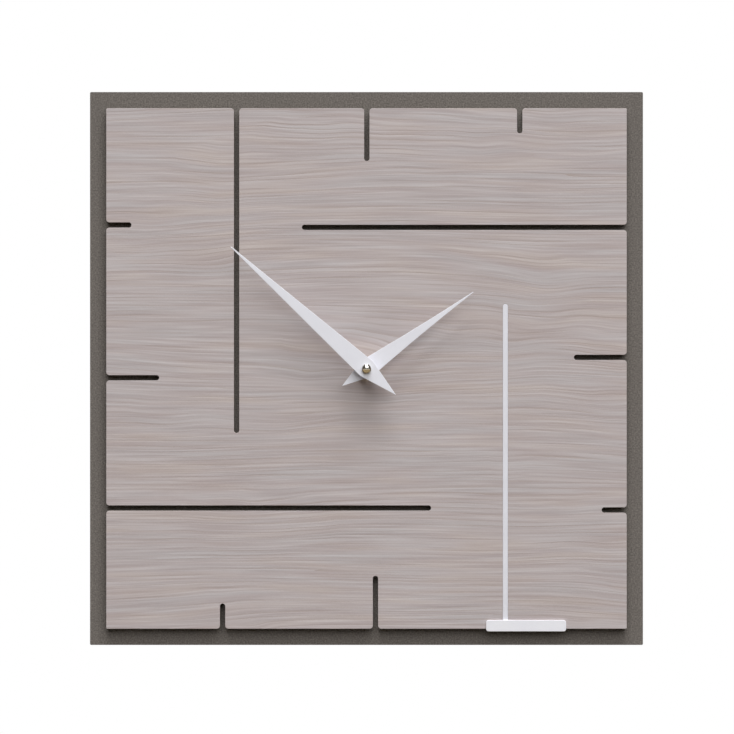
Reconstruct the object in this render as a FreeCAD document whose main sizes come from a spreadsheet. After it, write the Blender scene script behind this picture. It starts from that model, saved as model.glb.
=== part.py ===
import FreeCAD, Part

import math
import os
import re

import Sketcher
from FreeCAD import Placement, Rotation, Vector

# A square wall clock with a quartz movement. Lengths are in millimetres and angles in degrees.
#
# +X is to the right of the dial, +Z is up and the dial faces -Y. The origin is on the axis of the
# hands, in the plane of the wall. "Depth" is the distance forward from the wall, so it is -Y.
#
# From the wall forward the clock is: rubber bumpers, back board, front board, veneer, and the two
# hands. The movement sits in a window of the back board and its threaded bush passes through the
# front board, where a washer and a nut clamp it.

DIMENSIONS = [
    # boards
    ("back_side", 350.0, "side of the square back board"),
    ("back_corner", 0.8, "corner radius of the back board"),
    ("back_thickness", 12.0, "thickness of the back board"),
    ("front_side", 328.7, "side of the square front board"),
    ("front_corner", 0.8, "corner radius of the front board"),
    ("core_thickness", 5.4, "thickness of the front board under its veneer"),
    ("veneer_thickness", 0.6, "thickness of the veneer"),
    ("shaft_hole_radius", 4.25, "hole through the front board for the bush"),
    ("window_half", 31.0, "half side of the movement's window in the back board"),
    ("window_corner", 3.0, "corner radius of that window"),
    # bumpers
    ("bumper_radius", 6.0, "radius of a wall bumper"),
    ("bumper_thickness", 6.0, "thickness of a wall bumper, the gap behind the back board"),
    ("bumper_place", 160.0, "distance of each bumper from the centre lines"),
    # hour slots
    ("slot_width", 3.3, "width of a routed slot"),
    ("slot_mouth", 2.0, "rounding where a slot meets the board's edge"),
    ("slot_overrun", 1.0, "how far the cutter runs past the board's edge"),
    ("slot_length_quarter", 33.35, "length of the slots at 12, 3, 6 and 9"),
    ("slot_length_short", 15.85, "length of the slots at 1, 4, 7 and 10"),
    ("slot_length_long", 205.1, "length of the slots at 2, 5, 8 and 11"),
    ("slot_1_place", 96.75, "X of the slot at 1"),
    ("slot_2_place", 89.1, "Z of the slot at 2"),
    ("slot_3_place", 7.0, "Z of the slot at 3"),
    ("slot_4_place", -89.4, "Z of the slot at 4"),
    ("slot_5_place", 87.7, "X of the slot at 5"),
    ("slot_6_place", 5.65, "X of the slot at 6"),
    ("slot_7_place", -90.9, "X of the slot at 7"),
    ("slot_8_place", -88.15, "Z of the slot at 8"),
    ("slot_9_place", -5.9, "Z of the slot at 9"),
    ("slot_10_place", 90.6, "Z of the slot at 10"),
    ("slot_11_place", -82.05, "X of the slot at 11"),
    ("slot_12_place", 0.2, "X of the slot at 12"),
    # strip and plate
    ("strip_clearance", 0.05, "gap between the strip and its slot"),
    ("plate_left", 75.5, "left end of the blank plate"),
    ("plate_right", 126.0, "right end of the blank plate"),
    ("plate_low", -166.0, "lower edge of the blank plate"),
    ("plate_high", -158.9, "upper edge of the blank plate"),
    ("plate_corner", 1.5, "corner radius of the blank plate"),
    ("plate_thickness", 1.0, "thickness of the blank plate"),
    # hanger
    ("hanger_height", 130.0, "height of the hanger above the hand axis"),
    ("hanger_pocket_width", 24.0, "width of the pocket behind the hanger plate"),
    ("hanger_pocket_height", 26.0, "height of that pocket"),
    ("hanger_pocket_depth", 8.0, "depth of that pocket"),
    ("hanger_corner", 4.0, "corner radius of the pocket and of the plate"),
    ("hanger_plate_width", 44.0, "width of the hanger plate"),
    ("hanger_plate_height", 30.0, "height of the hanger plate"),
    ("hanger_plate_thickness", 1.5, "thickness of the hanger plate"),
    ("keyhole_radius", 4.5, "round part of the keyhole, which passes the wall screw's head"),
    ("keyhole_neck", 2.25, "half width of the keyhole's neck"),
    ("keyhole_reach", 5.0, "distance of the keyhole's two ends from the middle of the plate"),
    ("hanger_screw_place", 17.0, "distance of a hanger screw from the middle"),
    ("hanger_screw_radius", 1.5, "radius of a hanger screw"),
    ("hanger_screw_hole", 1.6, "radius of its hole in the plate"),
    ("hanger_screw_length", 8.0, "length of a hanger screw in the board"),
    ("hanger_head_radius", 2.8, "radius of its head"),
    ("hanger_head_height", 1.6, "height of its head"),
    # screws that hold the boards together
    ("panel_screw_outer", 145.0, "place of the four outer screws"),
    ("panel_screw_inner", 60.0, "place of the four inner screws"),
    ("panel_screw_radius", 1.75, "radius of a panel screw"),
    ("panel_screw_bite", 4.0, "how far a panel screw goes into the front board"),
    ("panel_head_radius", 3.5, "radius of its head"),
    ("panel_head_height", 2.2, "height of its head"),
    ("counterbore_radius", 3.8, "radius of the counterbore for the head"),
    ("counterbore_depth", 2.4, "depth of the counterbore"),
    ("recess_width", 0.8, "width of the slots of a cross recess"),
    ("recess_reach", 0.6, "reach of a cross recess from its middle, in radii of the head"),
    ("recess_depth", 0.9, "depth of a cross recess"),
    # movement case
    ("case_half", 28.0, "half side of the movement"),
    ("case_corner", 3.0, "corner radius of the movement"),
    ("case_rear", 1.2, "depth of the rear face"),
    ("case_split", 7.0, "depth at which the rear cover meets the front case"),
    ("case_front", 17.2, "depth of the front face"),
    ("case_wall", 1.4, "wall thickness of the case"),
    ("cover_floor", 1.2, "thickness of the rear cover's floor"),
    ("bay_low", -27.2, "lower side of the battery bay"),
    ("bay_high", -12.2, "upper side of the battery bay"),
    ("bay_partition", 1.0, "wall between the battery and the gears"),
    ("bay_front", 15.9, "depth of the battery bay's front wall"),
    ("post_x", 24.2, "distance of the plate's posts to each side"),
    ("post_high", 24.2, "height of the upper posts"),
    ("post_low", -8.8, "height of the lower posts"),
    ("post_radius", 1.5, "radius of a post"),
    ("bearing_rear", 8.5, "depth of the bearing plate's rear face"),
    ("bearing_front", 9.2, "depth of the bearing plate's front face"),
    ("bearing_gap", 0.4, "gap between the bearing plate and the case's walls"),
    ("fit", 0.05, "radial clearance of every arbor in its bearing"),
    # threaded bush and its clamp
    ("bush_radius", 4.0, "outer radius of the threaded bush"),
    ("bush_front", 27.0, "depth of the bush's front end"),
    ("bush_flange_radius", 6.0, "radius of the flange inside the case"),
    ("bush_flange_thickness", 1.0, "thickness of that flange"),
    ("thread_relief", 0.3, "chamfer at the end of the bush"),
    ("rubber_radius", 10.0, "radius of the rubber washer"),
    ("washer_radius", 5.9, "radius of the flat washer"),
    ("washer_thickness", 0.5, "thickness of the flat washer"),
    ("nut_flats", 11.0, "width of the nut across its flats"),
    ("nut_thickness", 2.0, "thickness of the nut"),
    # arbors on the hand axis
    ("hour_tube_radius", 2.5, "outer radius of the hour wheel's tube"),
    ("hour_tube_front", 32.4, "depth of its front end"),
    ("minute_tube_radius", 1.7, "outer radius of the minute arbor"),
    ("minute_tube_rear", 9.3, "depth of its rear end"),
    ("minute_tube_front", 37.2, "depth of its front end"),
    ("arbor_radius", 0.5, "radius of the seconds and third arbors"),
    ("fine_arbor_radius", 0.4, "radius of the intermediate and rotor arbors"),
    ("seconds_arbor_rear", 3.0, "depth of the seconds arbor's rear end"),
    ("seconds_arbor_front", 36.9, "depth of its front end"),
    # hands
    ("hand_thickness", 0.8, "thickness of a hand"),
    ("hand_half_width", 6.1, "half width of each hand at the axis"),
    ("tip_half_width", 0.25, "half width of the blunt end of each hand"),
    ("hour_tip", 82.8, "length of the hour hand"),
    ("hour_tail", 19.0, "length of its tail"),
    ("hour_waist", 0.57, "how far its long edges curve inward"),
    ("hour_front", 32.4, "depth of its front face"),
    ("hour_angle", 54.4, "where it points, clockwise from 12"),
    ("hour_collar_radius", 3.3, "radius of the collar behind it"),
    ("minute_tip", 114.6, "length of the minute hand"),
    ("minute_tail", 24.9, "length of its tail"),
    ("minute_front", 36.4, "depth of its front face"),
    ("minute_angle", 311.9, "where it points, clockwise from 12"),
    ("minute_collar_radius", 2.6, "radius of the collar behind it"),
    ("collar_height", 1.3, "height of the collar behind a hand"),
    ("cap_radius", 2.9, "radius of the domed cap nut"),
    ("cap_wall", 1.5, "straight height of the cap nut under its dome"),
    ("cap_dome", 1.6, "height of the dome"),
    ("cap_bore_front", 37.7, "depth of the end of its threaded hole"),
    # gear train
    ("pressure_angle", 28.0, "pressure angle of the teeth"),
    ("tooth_head", 0.8, "height of a tooth above the pitch circle, in modules"),
    ("tooth_foot", 1.1, "depth of a tooth below the pitch circle, in modules"),
    ("backlash", 0.12, "how much thinner a tooth is than its gap, in modules"),
    ("third_direction", 150.0, "direction of the third arbor from the hand axis"),
    ("intermediate_direction", 60.0, "direction of the intermediate arbor from the hand axis"),
    ("rotor_direction", 30.0, "direction of the rotor from the intermediate arbor"),
    ("motion_direction", 75.0, "direction of the motion wheel's post from the hand axis"),
    ("knob_direction", 125.0, "direction of the knob's arbor from that post"),
    ("pinion_teeth", 8, "teeth of each small driving pinion"),
    ("rotor_module", 0.25, "module of the rotor's pinion"),
    ("intermediate_teeth", 48, "teeth of the intermediate wheel"),
    ("seconds_module", 0.3, "module of the seconds wheel and its pinion"),
    ("seconds_teeth", 40, "teeth of the seconds wheel"),
    ("third_teeth", 60, "teeth of the third wheel"),
    ("centre_teeth", 64, "teeth of the centre wheel"),
    ("cannon_module", 0.4, "module of the cannon pinion"),
    ("cannon_teeth", 12, "teeth of the cannon pinion and of the knob's pinion"),
    ("motion_teeth", 36, "teeth of the motion wheel"),
    ("motion_pinion_teeth", 10, "teeth of the motion wheel's pinion"),
    ("hour_teeth", 40, "teeth of the hour wheel"),
    # depths of the wheels
    ("seconds_wheel_rear", 4.6, "depth of the seconds wheel and the intermediate pinion"),
    ("intermediate_wheel_rear", 6.0, "depth of the intermediate wheel and the rotor's pinion"),
    ("third_wheel_rear", 7.0, "depth of the third wheel and the seconds pinion"),
    ("centre_wheel_rear", 9.4, "depth of the centre wheel and the third pinion"),
    ("cannon_rear", 11.2, "depth of the cannon pinion and the motion wheel"),
    ("hour_wheel_rear", 13.2, "depth of the hour wheel and the motion pinion"),
    ("wheel_thickness", 1.0, "thickness of a wheel"),
    ("thin_wheel", 0.8, "thickness of the intermediate wheel"),
    ("thick_wheel", 1.2, "thickness of the hour wheel"),
    ("plate_pivot_end", 9.1, "depth to which pivots reach into the bearing plate"),
    ("post_pin_radius", 0.75, "radius of the pin that the motion wheel turns on"),
    ("post_pin_rear", 10.8, "depth of the end of that pin"),
    ("post_shoulder", 14.6, "depth of the shoulder at its foot"),
    ("boss_radius", 1.2, "radius of a pivot boss"),
    ("pivot_hole", 1.0, "depth of a pivot hole in a boss"),
    ("pivot_reach", 0.9, "how far an arbor's pivot goes into that hole"),
    ("third_rear_boss", 6.4, "depth of the third arbor's rear boss"),
    ("third_front_boss", 11.0, "depth of the third arbor's front boss"),
    ("low_boss", 3.9, "depth of the seconds and intermediate arbors' rear bosses"),
    ("rotor_boss", 2.7, "depth of the rotor's rear boss"),
    # hand-setting knob
    ("knob_radius", 7.0, "radius of the hand-setting knob"),
    ("knob_rear", 1.4, "depth of its rear face"),
    ("knob_front", 4.2, "depth of its front face"),
    ("knob_arbor_radius", 1.2, "radius of its arbor"),
    ("knob_pivot_radius", 0.6, "radius of the pivot at the arbor's front end"),
    ("knob_pivot_front", 13.5, "depth of the end of that pivot"),
    ("knob_boss_rear", 12.6, "depth of the boss that holds the pivot"),
    ("knob_boss_radius", 1.6, "radius of that boss"),
    ("knob_recess_radius", 7.5, "radius of the knob's recess in the rear cover"),
    ("knob_recess_front", 4.6, "depth of the bottom of that recess"),
    ("knob_recess_wall", 1.0, "wall around and behind the recess"),
    ("knob_scallops", 24, "grooves around the knob"),
    ("scallop_radius", 0.5, "radius of one groove"),
    # stepping motor
    ("magnet_radius", 2.8, "radius of the rotor magnet"),
    ("magnet_rear", 3.0, "depth of its rear face"),
    ("magnet_front", 5.6, "depth of its front face"),
    ("rotor_arbor_rear", 1.8, "depth of the rotor arbor's rear end"),
    ("stator_left", 6.1, "left edge of the stator"),
    ("stator_right", 22.0, "right edge of the stator"),
    ("stator_low", 2.6, "lower edge of the stator"),
    ("stator_high", 22.4, "upper edge of the stator"),
    ("stator_rear", 4.6, "depth of the stator's rear face"),
    ("stator_thickness", 0.8, "thickness of the stator"),
    ("stator_bore", 3.2, "radius of the hole around the magnet"),
    ("stator_window_left", 14.2, "left side of the stator's window"),
    ("stator_window_low", 5.2, "lower side of that window"),
    ("stator_window_high", 19.8, "upper side of that window"),
    ("coil_x", 20.5, "X of the coil's axis"),
    ("coil_depth", 5.0, "depth of the coil's axis"),
    ("core_half_width", 1.3, "half width of the stator's limb in the coil"),
    ("bobbin_wall", 0.4, "wall of the bobbin around that limb"),
    ("bobbin_half", 2.5, "half side of the bobbin's flanges"),
    ("bobbin_low", 5.4, "lower end of the bobbin"),
    ("bobbin_high", 19.6, "upper end of the bobbin"),
    ("bobbin_flange", 1.0, "thickness of its flanges"),
    ("winding_radius", 2.3, "radius of the winding"),
    # circuit
    ("board_left", 11.5, "left edge of the circuit board"),
    ("board_right", 22.4, "right edge of the circuit board"),
    ("board_low", -10.4, "lower edge of the circuit board"),
    ("board_high", -1.0, "upper edge of the circuit board"),
    ("board_thickness", 0.8, "thickness of the circuit board"),
    ("chip_left", 13.0, "left edge of the driver chip"),
    ("chip_low", -8.6, "lower edge of the driver chip"),
    ("chip_side", 4.0, "side of the driver chip"),
    ("chip_thickness", 1.2, "thickness of the driver chip"),
    ("crystal_radius", 1.0, "radius of the quartz crystal's can"),
    ("crystal_left", 14.5, "left end of the can"),
    ("crystal_length", 6.0, "length of the can"),
    ("crystal_height", -2.6, "height of the can's axis"),
    # battery
    ("battery_height", -19.7, "height of the battery's axis"),
    ("battery_depth", 8.35, "depth of the battery's axis"),
    ("cell_radius", 7.05, "radius of the battery's steel can"),
    ("cell_left", -25.4, "flat end of the battery"),
    ("cell_right", 24.1, "shoulder at the other end"),
    ("nub_radius", 2.75, "radius of the raised terminal"),
    ("nub_length", 1.0, "height of the raised terminal"),
    ("sleeve_thickness", 0.2, "thickness of the plastic sleeve"),
    ("sleeve_margin", 0.6, "bare steel at each end of the sleeve"),
    ("contact_thickness", 0.4, "thickness of a contact plate"),
    ("contact_low", -24.0, "lower edge of a contact plate"),
    ("contact_high", -15.0, "upper edge of a contact plate"),
    ("contact_rear", 4.0, "depth of a contact plate's rear edge"),
    ("contact_front", 13.0, "depth of its front edge"),
    ("contact_bump_radius", 2.0, "radius of the bump that touches the battery"),
    ("contact_gap", 0.1, "gap between the bump and the battery"),
]

ALIASES = {alias for alias, number, note in DIMENSIONS}

# Depths of the boards' faces, worked out from the sheet.
BACK_REAR = "bumper_thickness"
BACK_FRONT = f"({BACK_REAR} + back_thickness)"
CORE_FRONT = f"({BACK_FRONT} + core_thickness)"
FACE = f"({CORE_FRONT} + veneer_thickness)"

# Inside of the movement's case.
COVER_INSIDE = "(case_rear + cover_floor)"
CASE_INSIDE = "(case_front - case_wall)"
INNER_HALF = "(case_half - case_wall)"
GEAR_LOW = "(bay_high + bay_partition)"


def polar(start_x, start_z, reach, direction):
    """The X and Z, as formulas, of a point at a distance and direction from another point."""
    x = f"({start_x} + {reach} * cos({direction} * 1 deg))"
    z = f"({start_z} + {reach} * sin({direction} * 1 deg))"
    return x, z


# Where the arbors stand: each pair of wheels in mesh is the sum of its pitch radii apart.
THIRD_X, THIRD_Z = polar(0, 0, "(pinion_teeth + third_teeth) * seconds_module / 2", "third_direction")
STEP_X, STEP_Z = polar(0, 0, "(pinion_teeth + seconds_teeth) * seconds_module / 2", "intermediate_direction")
ROTOR_X, ROTOR_Z = polar(
    STEP_X, STEP_Z, "(pinion_teeth + intermediate_teeth) * rotor_module / 2", "rotor_direction"
)
MOTION_REACH = "(cannon_teeth + motion_teeth) * cannon_module / 2"
MOTION_X, MOTION_Z = polar(0, 0, MOTION_REACH, "motion_direction")
KNOB_X, KNOB_Z = polar(MOTION_X, MOTION_Z, MOTION_REACH, "knob_direction")

doc = FreeCAD.newDocument("WallClock")
sheet = doc.addObject("Spreadsheet::Sheet", "Dims")
sub_parts = []


# ---------------------------------------------------------------- sheet and formulas


def fill_sheet():
    """One row for each driving dimension: what it is, and its number under an alias."""
    for row, (alias, number, note) in enumerate(DIMENSIONS, start=1):
        sheet.set(f"A{row}", note)
        sheet.set(f"B{row}", str(number))
        sheet.setAlias(f"B{row}", alias)
    doc.recompute()


def formula(text):
    """The same formula with the sheet's name before each of its dimensions."""
    return re.sub(
        r"[a-z_][a-z0-9_]*",
        lambda word: f"Dims.{word[0]}" if word[0] in ALIASES else word[0],
        str(text),
    )


def value(text):
    """What a formula comes to now, as a number."""
    return float(sheet.evalExpression(formula(text)))


def bind(target, path, text):
    """Ties a property of an object to a formula."""
    target.setExpression(path, formula(text))


# ---------------------------------------------------------------- sketches


def new_body(label):
    body = doc.addObject("PartDesign::Body", label)
    body.Label = label
    sub_parts.append(body)
    return body


def sketch_on(body, role, offset="0"):
    """An empty sketch on one of the body's own origin planes, moved along its normal."""
    plane = next(feature for feature in body.Origin.OriginFeatures if feature.Role == role)
    sketch = body.newObject("Sketcher::SketchObject", f"{body.Label}_sketch")
    sketch.AttachmentSupport = [(plane, "")]
    sketch.MapMode = "FlatFace"
    bind(sketch, "AttachmentOffset.Base.z", offset)
    return sketch


def front_sketch(body, depth):
    """A sketch that faces the viewer at a depth: its x is X, its y is Z and its normal is -Y."""
    return sketch_on(body, "XZ_Plane", depth)


def fix_point(sketch, edge, point, x, y):
    """Ties one point of an edge to formulas for its x and y."""
    for kind, text in (("DistanceX", x), ("DistanceY", y)):
        number = sketch.addConstraint(Sketcher.Constraint(kind, -1, 1, edge, point, value(text)))
        bind(sketch, f"Constraints[{number}]", text)


def fix_centre(sketch, edge, step, chord):
    """Ties the one coordinate of an arc's centre that its two ends leave free."""
    kind, text = ("DistanceX", step[2]) if abs(chord.y) >= abs(chord.x) else ("DistanceY", step[3])
    number = sketch.addConstraint(Sketcher.Constraint(kind, -1, 1, edge, 3, value(text)))
    bind(sketch, f"Constraints[{number}]", text)


def arc_between(begin, finish, centre, turn):
    """An arc from begin to finish; "left" runs anticlockwise and "right" clockwise."""
    first, last = (begin, finish) if turn == "left" else (finish, begin)
    start_angle = math.atan2(first.y - centre.y, first.x - centre.x)
    end_angle = math.atan2(last.y - centre.y, last.x - centre.x)
    circle_here = Part.Circle(centre, Vector(0, 0, 1), begin.distanceToPoint(centre))
    return Part.ArcOfCircle(circle_here, start_angle, end_angle)


def outline(sketch, steps):
    """A closed outline. A step (x, y) is a straight edge that starts there, and a step
    (x, y, centre x, centre y, turn) is an arc that starts there. All of them are formulas."""
    corners = [Vector(value(step[0]), value(step[1]), 0) for step in steps]
    edges = []
    for number, step in enumerate(steps):
        begin = corners[number]
        finish = corners[(number + 1) % len(steps)]
        if len(step) == 2:
            edges.append((sketch.addGeometry(Part.LineSegment(begin, finish)), 1, 2))
            continue
        centre = Vector(value(step[2]), value(step[3]), 0)
        edge = sketch.addGeometry(arc_between(begin, finish, centre, step[4]))
        edges.append((edge, 1, 2) if step[4] == "left" else (edge, 2, 1))
    for number, step in enumerate(steps):
        edge, first, last = edges[number]
        next_edge, next_first, next_last = edges[(number + 1) % len(steps)]
        fix_point(sketch, edge, first, step[0], step[1])
        sketch.addConstraint(Sketcher.Constraint("Coincident", edge, last, next_edge, next_first))
        if len(step) > 2:
            fix_centre(sketch, edge, step, corners[(number + 1) % len(steps)] - corners[number])


def circle(sketch, x, y, radius):
    centre = Vector(value(x), value(y), 0)
    edge = sketch.addGeometry(Part.Circle(centre, Vector(0, 0, 1), value(radius)))
    fix_point(sketch, edge, 3, x, y)
    number = sketch.addConstraint(Sketcher.Constraint("Radius", edge, value(radius)))
    bind(sketch, f"Constraints[{number}]", radius)


def rectangle(sketch, left, right, low, high):
    outline(sketch, [(left, low), (right, low), (right, high), (left, high)])


def rounded_rectangle(sketch, left, right, low, high, radius):
    inner_left, inner_right = f"{left} + {radius}", f"{right} - {radius}"
    inner_low, inner_high = f"{low} + {radius}", f"{high} - {radius}"
    outline(
        sketch,
        [
            (inner_left, low),
            (inner_right, low, inner_right, inner_low, "left"),
            (right, inner_low),
            (right, inner_high, inner_right, inner_high, "left"),
            (inner_right, high),
            (inner_left, high, inner_left, inner_high, "left"),
            (left, inner_high),
            (left, inner_low, inner_left, inner_low, "left"),
        ],
    )


# ---------------------------------------------------------------- features


def pad(body, sketch, length):
    """Adds material from a front sketch towards the viewer."""
    feature = body.newObject("PartDesign::Pad", f"{body.Label}_pad")
    feature.Profile = sketch
    bind(feature, "Length", length)


def pocket(body, sketch, length):
    """Removes material from a front sketch towards the wall."""
    feature = body.newObject("PartDesign::Pocket", f"{body.Label}_pocket")
    feature.Profile = sketch
    bind(feature, "Length", length)


def turned(body, profile):
    """Turns a closed profile of (radius, depth) corners, or arcs with centres, about the Y axis."""
    sketch = sketch_on(body, "XY_Plane")
    steps = []
    for corner in profile:
        step = [corner[0], f"-({corner[1]})"]
        if len(corner) > 2:
            step += [corner[2], f"-({corner[3]})", corner[4]]
        steps.append(tuple(step))
    outline(sketch, steps)
    feature = body.newObject("PartDesign::Revolution", f"{body.Label}_turned")
    feature.Profile = sketch
    feature.ReferenceAxis = (sketch, ["V_Axis"])
    feature.Angle = 360


def tube(body, inner, outer, rear, front):
    """A ring or a pipe about the Y axis."""
    turned(body, [(inner, rear), (outer, rear), (outer, front), (inner, front)])


def pad_circles(body, places, radius, rear, front):
    sketch = front_sketch(body, rear)
    for x, z in places:
        circle(sketch, x, z, radius)
    pad(body, sketch, f"({front}) - ({rear})")


def pocket_circles(body, places, radius, rear, front):
    sketch = front_sketch(body, front)
    for x, z in places:
        circle(sketch, x, z, radius)
    pocket(body, sketch, f"({front}) - ({rear})")


def block(name, left, right, low, high, rear, front):
    """A box given by its faces."""
    box = doc.addObject("Part::Box", name)
    bind(box, "Length", f"({right}) - ({left})")
    bind(box, "Width", f"({front}) - ({rear})")
    bind(box, "Height", f"({high}) - ({low})")
    bind(box, "Placement.Base.x", left)
    bind(box, "Placement.Base.y", f"-({front})")
    bind(box, "Placement.Base.z", low)
    return box


def rod_along_x(name, radius, left, right, height, depth):
    """A cylinder that lies along X."""
    rod = doc.addObject("Part::Cylinder", name)
    rod.Placement = Placement(Vector(0, 0, 0), Rotation(Vector(0, 1, 0), 90))
    bind(rod, "Radius", radius)
    bind(rod, "Height", f"({right}) - ({left})")
    bind(rod, "Placement.Base.x", left)
    bind(rod, "Placement.Base.y", f"-({depth})")
    bind(rod, "Placement.Base.z", height)
    return rod


def fused(label, *pieces):
    fuse = doc.addObject("Part::MultiFuse", label)
    fuse.Shapes = list(pieces)
    return fuse


def cut(label, base, tool):
    result = doc.addObject("Part::Cut", label)
    result.Base = base
    result.Tool = tool
    return result


def keep(label, piece):
    """Names a finished primitive or boolean and lists it as a sub-part."""
    piece.Label = label
    sub_parts.append(piece)


# ---------------------------------------------------------------- boards and strip

# Each slot starts at one edge of the front board: that edge, and its length.
SLOTS = {
    1: ("top", "slot_length_short"),
    2: ("right", "slot_length_long"),
    3: ("right", "slot_length_quarter"),
    4: ("right", "slot_length_short"),
    5: ("bottom", "slot_length_long"),
    6: ("bottom", "slot_length_quarter"),
    7: ("bottom", "slot_length_short"),
    8: ("left", "slot_length_long"),
    9: ("left", "slot_length_quarter"),
    10: ("left", "slot_length_short"),
    11: ("top", "slot_length_long"),
    12: ("top", "slot_length_quarter"),
}

CORNERS = [(1, 1), (-1, 1), (-1, -1), (1, -1)]


def corner_places(*distances):
    """The four places at each of the given distances from both centre lines."""
    return [(f"{x} * {reach}", f"{z} * {reach}") for reach in distances for x, z in CORNERS]


PANEL_SCREWS = corner_places("panel_screw_outer", "panel_screw_inner")
HANGER_SCREWS = [(f"{side} * hanger_screw_place", "hanger_height") for side in (-1, 1)]


def slot_point(edge, hour, inward, across):
    """A point of a slot, given by its distance in from the board's edge and across the slot."""
    place = f"slot_{hour}_place"
    return {
        "left": (f"{inward} - front_side / 2", f"{place} + {across}"),
        "bottom": (f"{place} - {across}", f"{inward} - front_side / 2"),
        "right": (f"front_side / 2 - {inward}", f"{place} - {across}"),
        "top": (f"{place} + {across}", f"front_side / 2 - {inward}"),
    }[edge]


def slot_sketch(sketch, hour):
    """A slot with a round end, whose two corners at the board's edge are rounded outward."""
    edge, length = SLOTS[hour]
    half = "(slot_width / 2)"
    wide = "(slot_width / 2 + slot_mouth)"
    end = f"({length} - slot_width / 2)"

    def at(inward, across):
        return slot_point(edge, hour, inward, across)

    outline(
        sketch,
        [
            at("(-slot_overrun)", f"(-{wide})"),
            (*at("0", f"(-{wide})"), *at("slot_mouth", f"(-{wide})"), "right"),
            at("slot_mouth", f"(-{half})"),
            (*at(end, f"(-{half})"), *at(end, "0"), "left"),
            at(end, half),
            (*at("slot_mouth", half), *at("slot_mouth", wide), "right"),
            at("0", wide),
            at("(-slot_overrun)", wide),
        ],
    )


def front_layer(label, rear, front):
    """A layer of the front board: a square sheet with the shaft hole and the twelve slots."""
    body = new_body(label)
    sketch = front_sketch(body, rear)
    half = "front_side / 2"
    rounded_rectangle(sketch, f"-{half}", half, f"-{half}", half, "front_corner")
    pad(body, sketch, f"{front} - {rear}")
    pocket_circles(body, [("0", "0")], "shaft_hole_radius", rear, front)
    for hour in SLOTS:
        slot = front_sketch(body, front)
        slot_sketch(slot, hour)
        pocket(body, slot, f"{front} - {rear}")
    return body


def make_back_board():
    """The back board, with the movement's window, the hanger's pocket and the screw holes."""
    body = new_body("back_board")
    half = "back_side / 2"
    sketch = front_sketch(body, BACK_REAR)
    rounded_rectangle(sketch, f"-{half}", half, f"-{half}", half, "back_corner")
    pad(body, sketch, "back_thickness")
    window = front_sketch(body, BACK_FRONT)
    rounded_rectangle(
        window, "-window_half", "window_half", "-window_half", "window_half", "window_corner"
    )
    pocket(body, window, "back_thickness")
    hollow = front_sketch(body, f"{BACK_REAR} + hanger_pocket_depth")
    rounded_rectangle(
        hollow,
        "-hanger_pocket_width / 2",
        "hanger_pocket_width / 2",
        "hanger_height - hanger_pocket_height / 2",
        "hanger_height + hanger_pocket_height / 2",
        "hanger_corner",
    )
    pocket(body, hollow, "hanger_pocket_depth")
    pilot_front = f"{BACK_REAR} + hanger_screw_length"
    pocket_circles(body, HANGER_SCREWS, "hanger_screw_radius", BACK_REAR, pilot_front)
    pocket_circles(body, PANEL_SCREWS, "panel_screw_radius", BACK_REAR, BACK_FRONT)
    counterbore_front = f"{BACK_REAR} + counterbore_depth"
    pocket_circles(body, PANEL_SCREWS, "counterbore_radius", BACK_REAR, counterbore_front)


def make_front_board():
    body = front_layer("front_board", BACK_FRONT, CORE_FRONT)
    bite = f"{BACK_FRONT} + panel_screw_bite"
    pocket_circles(body, PANEL_SCREWS, "panel_screw_radius", BACK_FRONT, bite)


def make_face_veneer():
    front_layer("face_veneer", CORE_FRONT, FACE)


def make_accent_strip():
    """A strip let into the slot at 5, flush with the veneer, with a round upper end."""
    body = new_body("accent_strip")
    half = "(slot_width / 2 - strip_clearance)"
    low = "-front_side / 2"
    shoulder = "(slot_length_long - front_side / 2 - slot_width / 2)"
    left, right = f"slot_5_place - {half}", f"slot_5_place + {half}"
    sketch = front_sketch(body, BACK_FRONT)
    outline(
        sketch,
        [
            (left, low),
            (right, low),
            (right, shoulder, "slot_5_place", shoulder, "left"),
            (left, shoulder),
        ],
    )
    pad(body, sketch, f"{FACE} - {BACK_FRONT}")


def make_blank_nameplate():
    """A plain raised plate at the foot of the strip."""
    body = new_body("blank_nameplate")
    sketch = front_sketch(body, FACE)
    rounded_rectangle(sketch, "plate_left", "plate_right", "plate_low", "plate_high", "plate_corner")
    pad(body, sketch, "plate_thickness")


# ---------------------------------------------------------------- back of the boards


def make_wall_bumpers():
    body = new_body("wall_bumpers")
    pad_circles(body, corner_places("bumper_place"), "bumper_radius", "0", BACK_REAR)


def cross_recess(body, places, head_radius, rear):
    """Cuts a cross into the rear face of each screw head."""
    arm = f"({head_radius} * recess_reach)"
    for half_x, half_z in ((arm, "recess_width / 2"), ("recess_width / 2", arm)):
        sketch = front_sketch(body, f"{rear} + recess_depth")
        for x, z in places:
            rectangle(sketch, f"{x} - {half_x}", f"{x} + {half_x}", f"{z} - {half_z}", f"{z} + {half_z}")
        pocket(body, sketch, "recess_depth")


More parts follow.
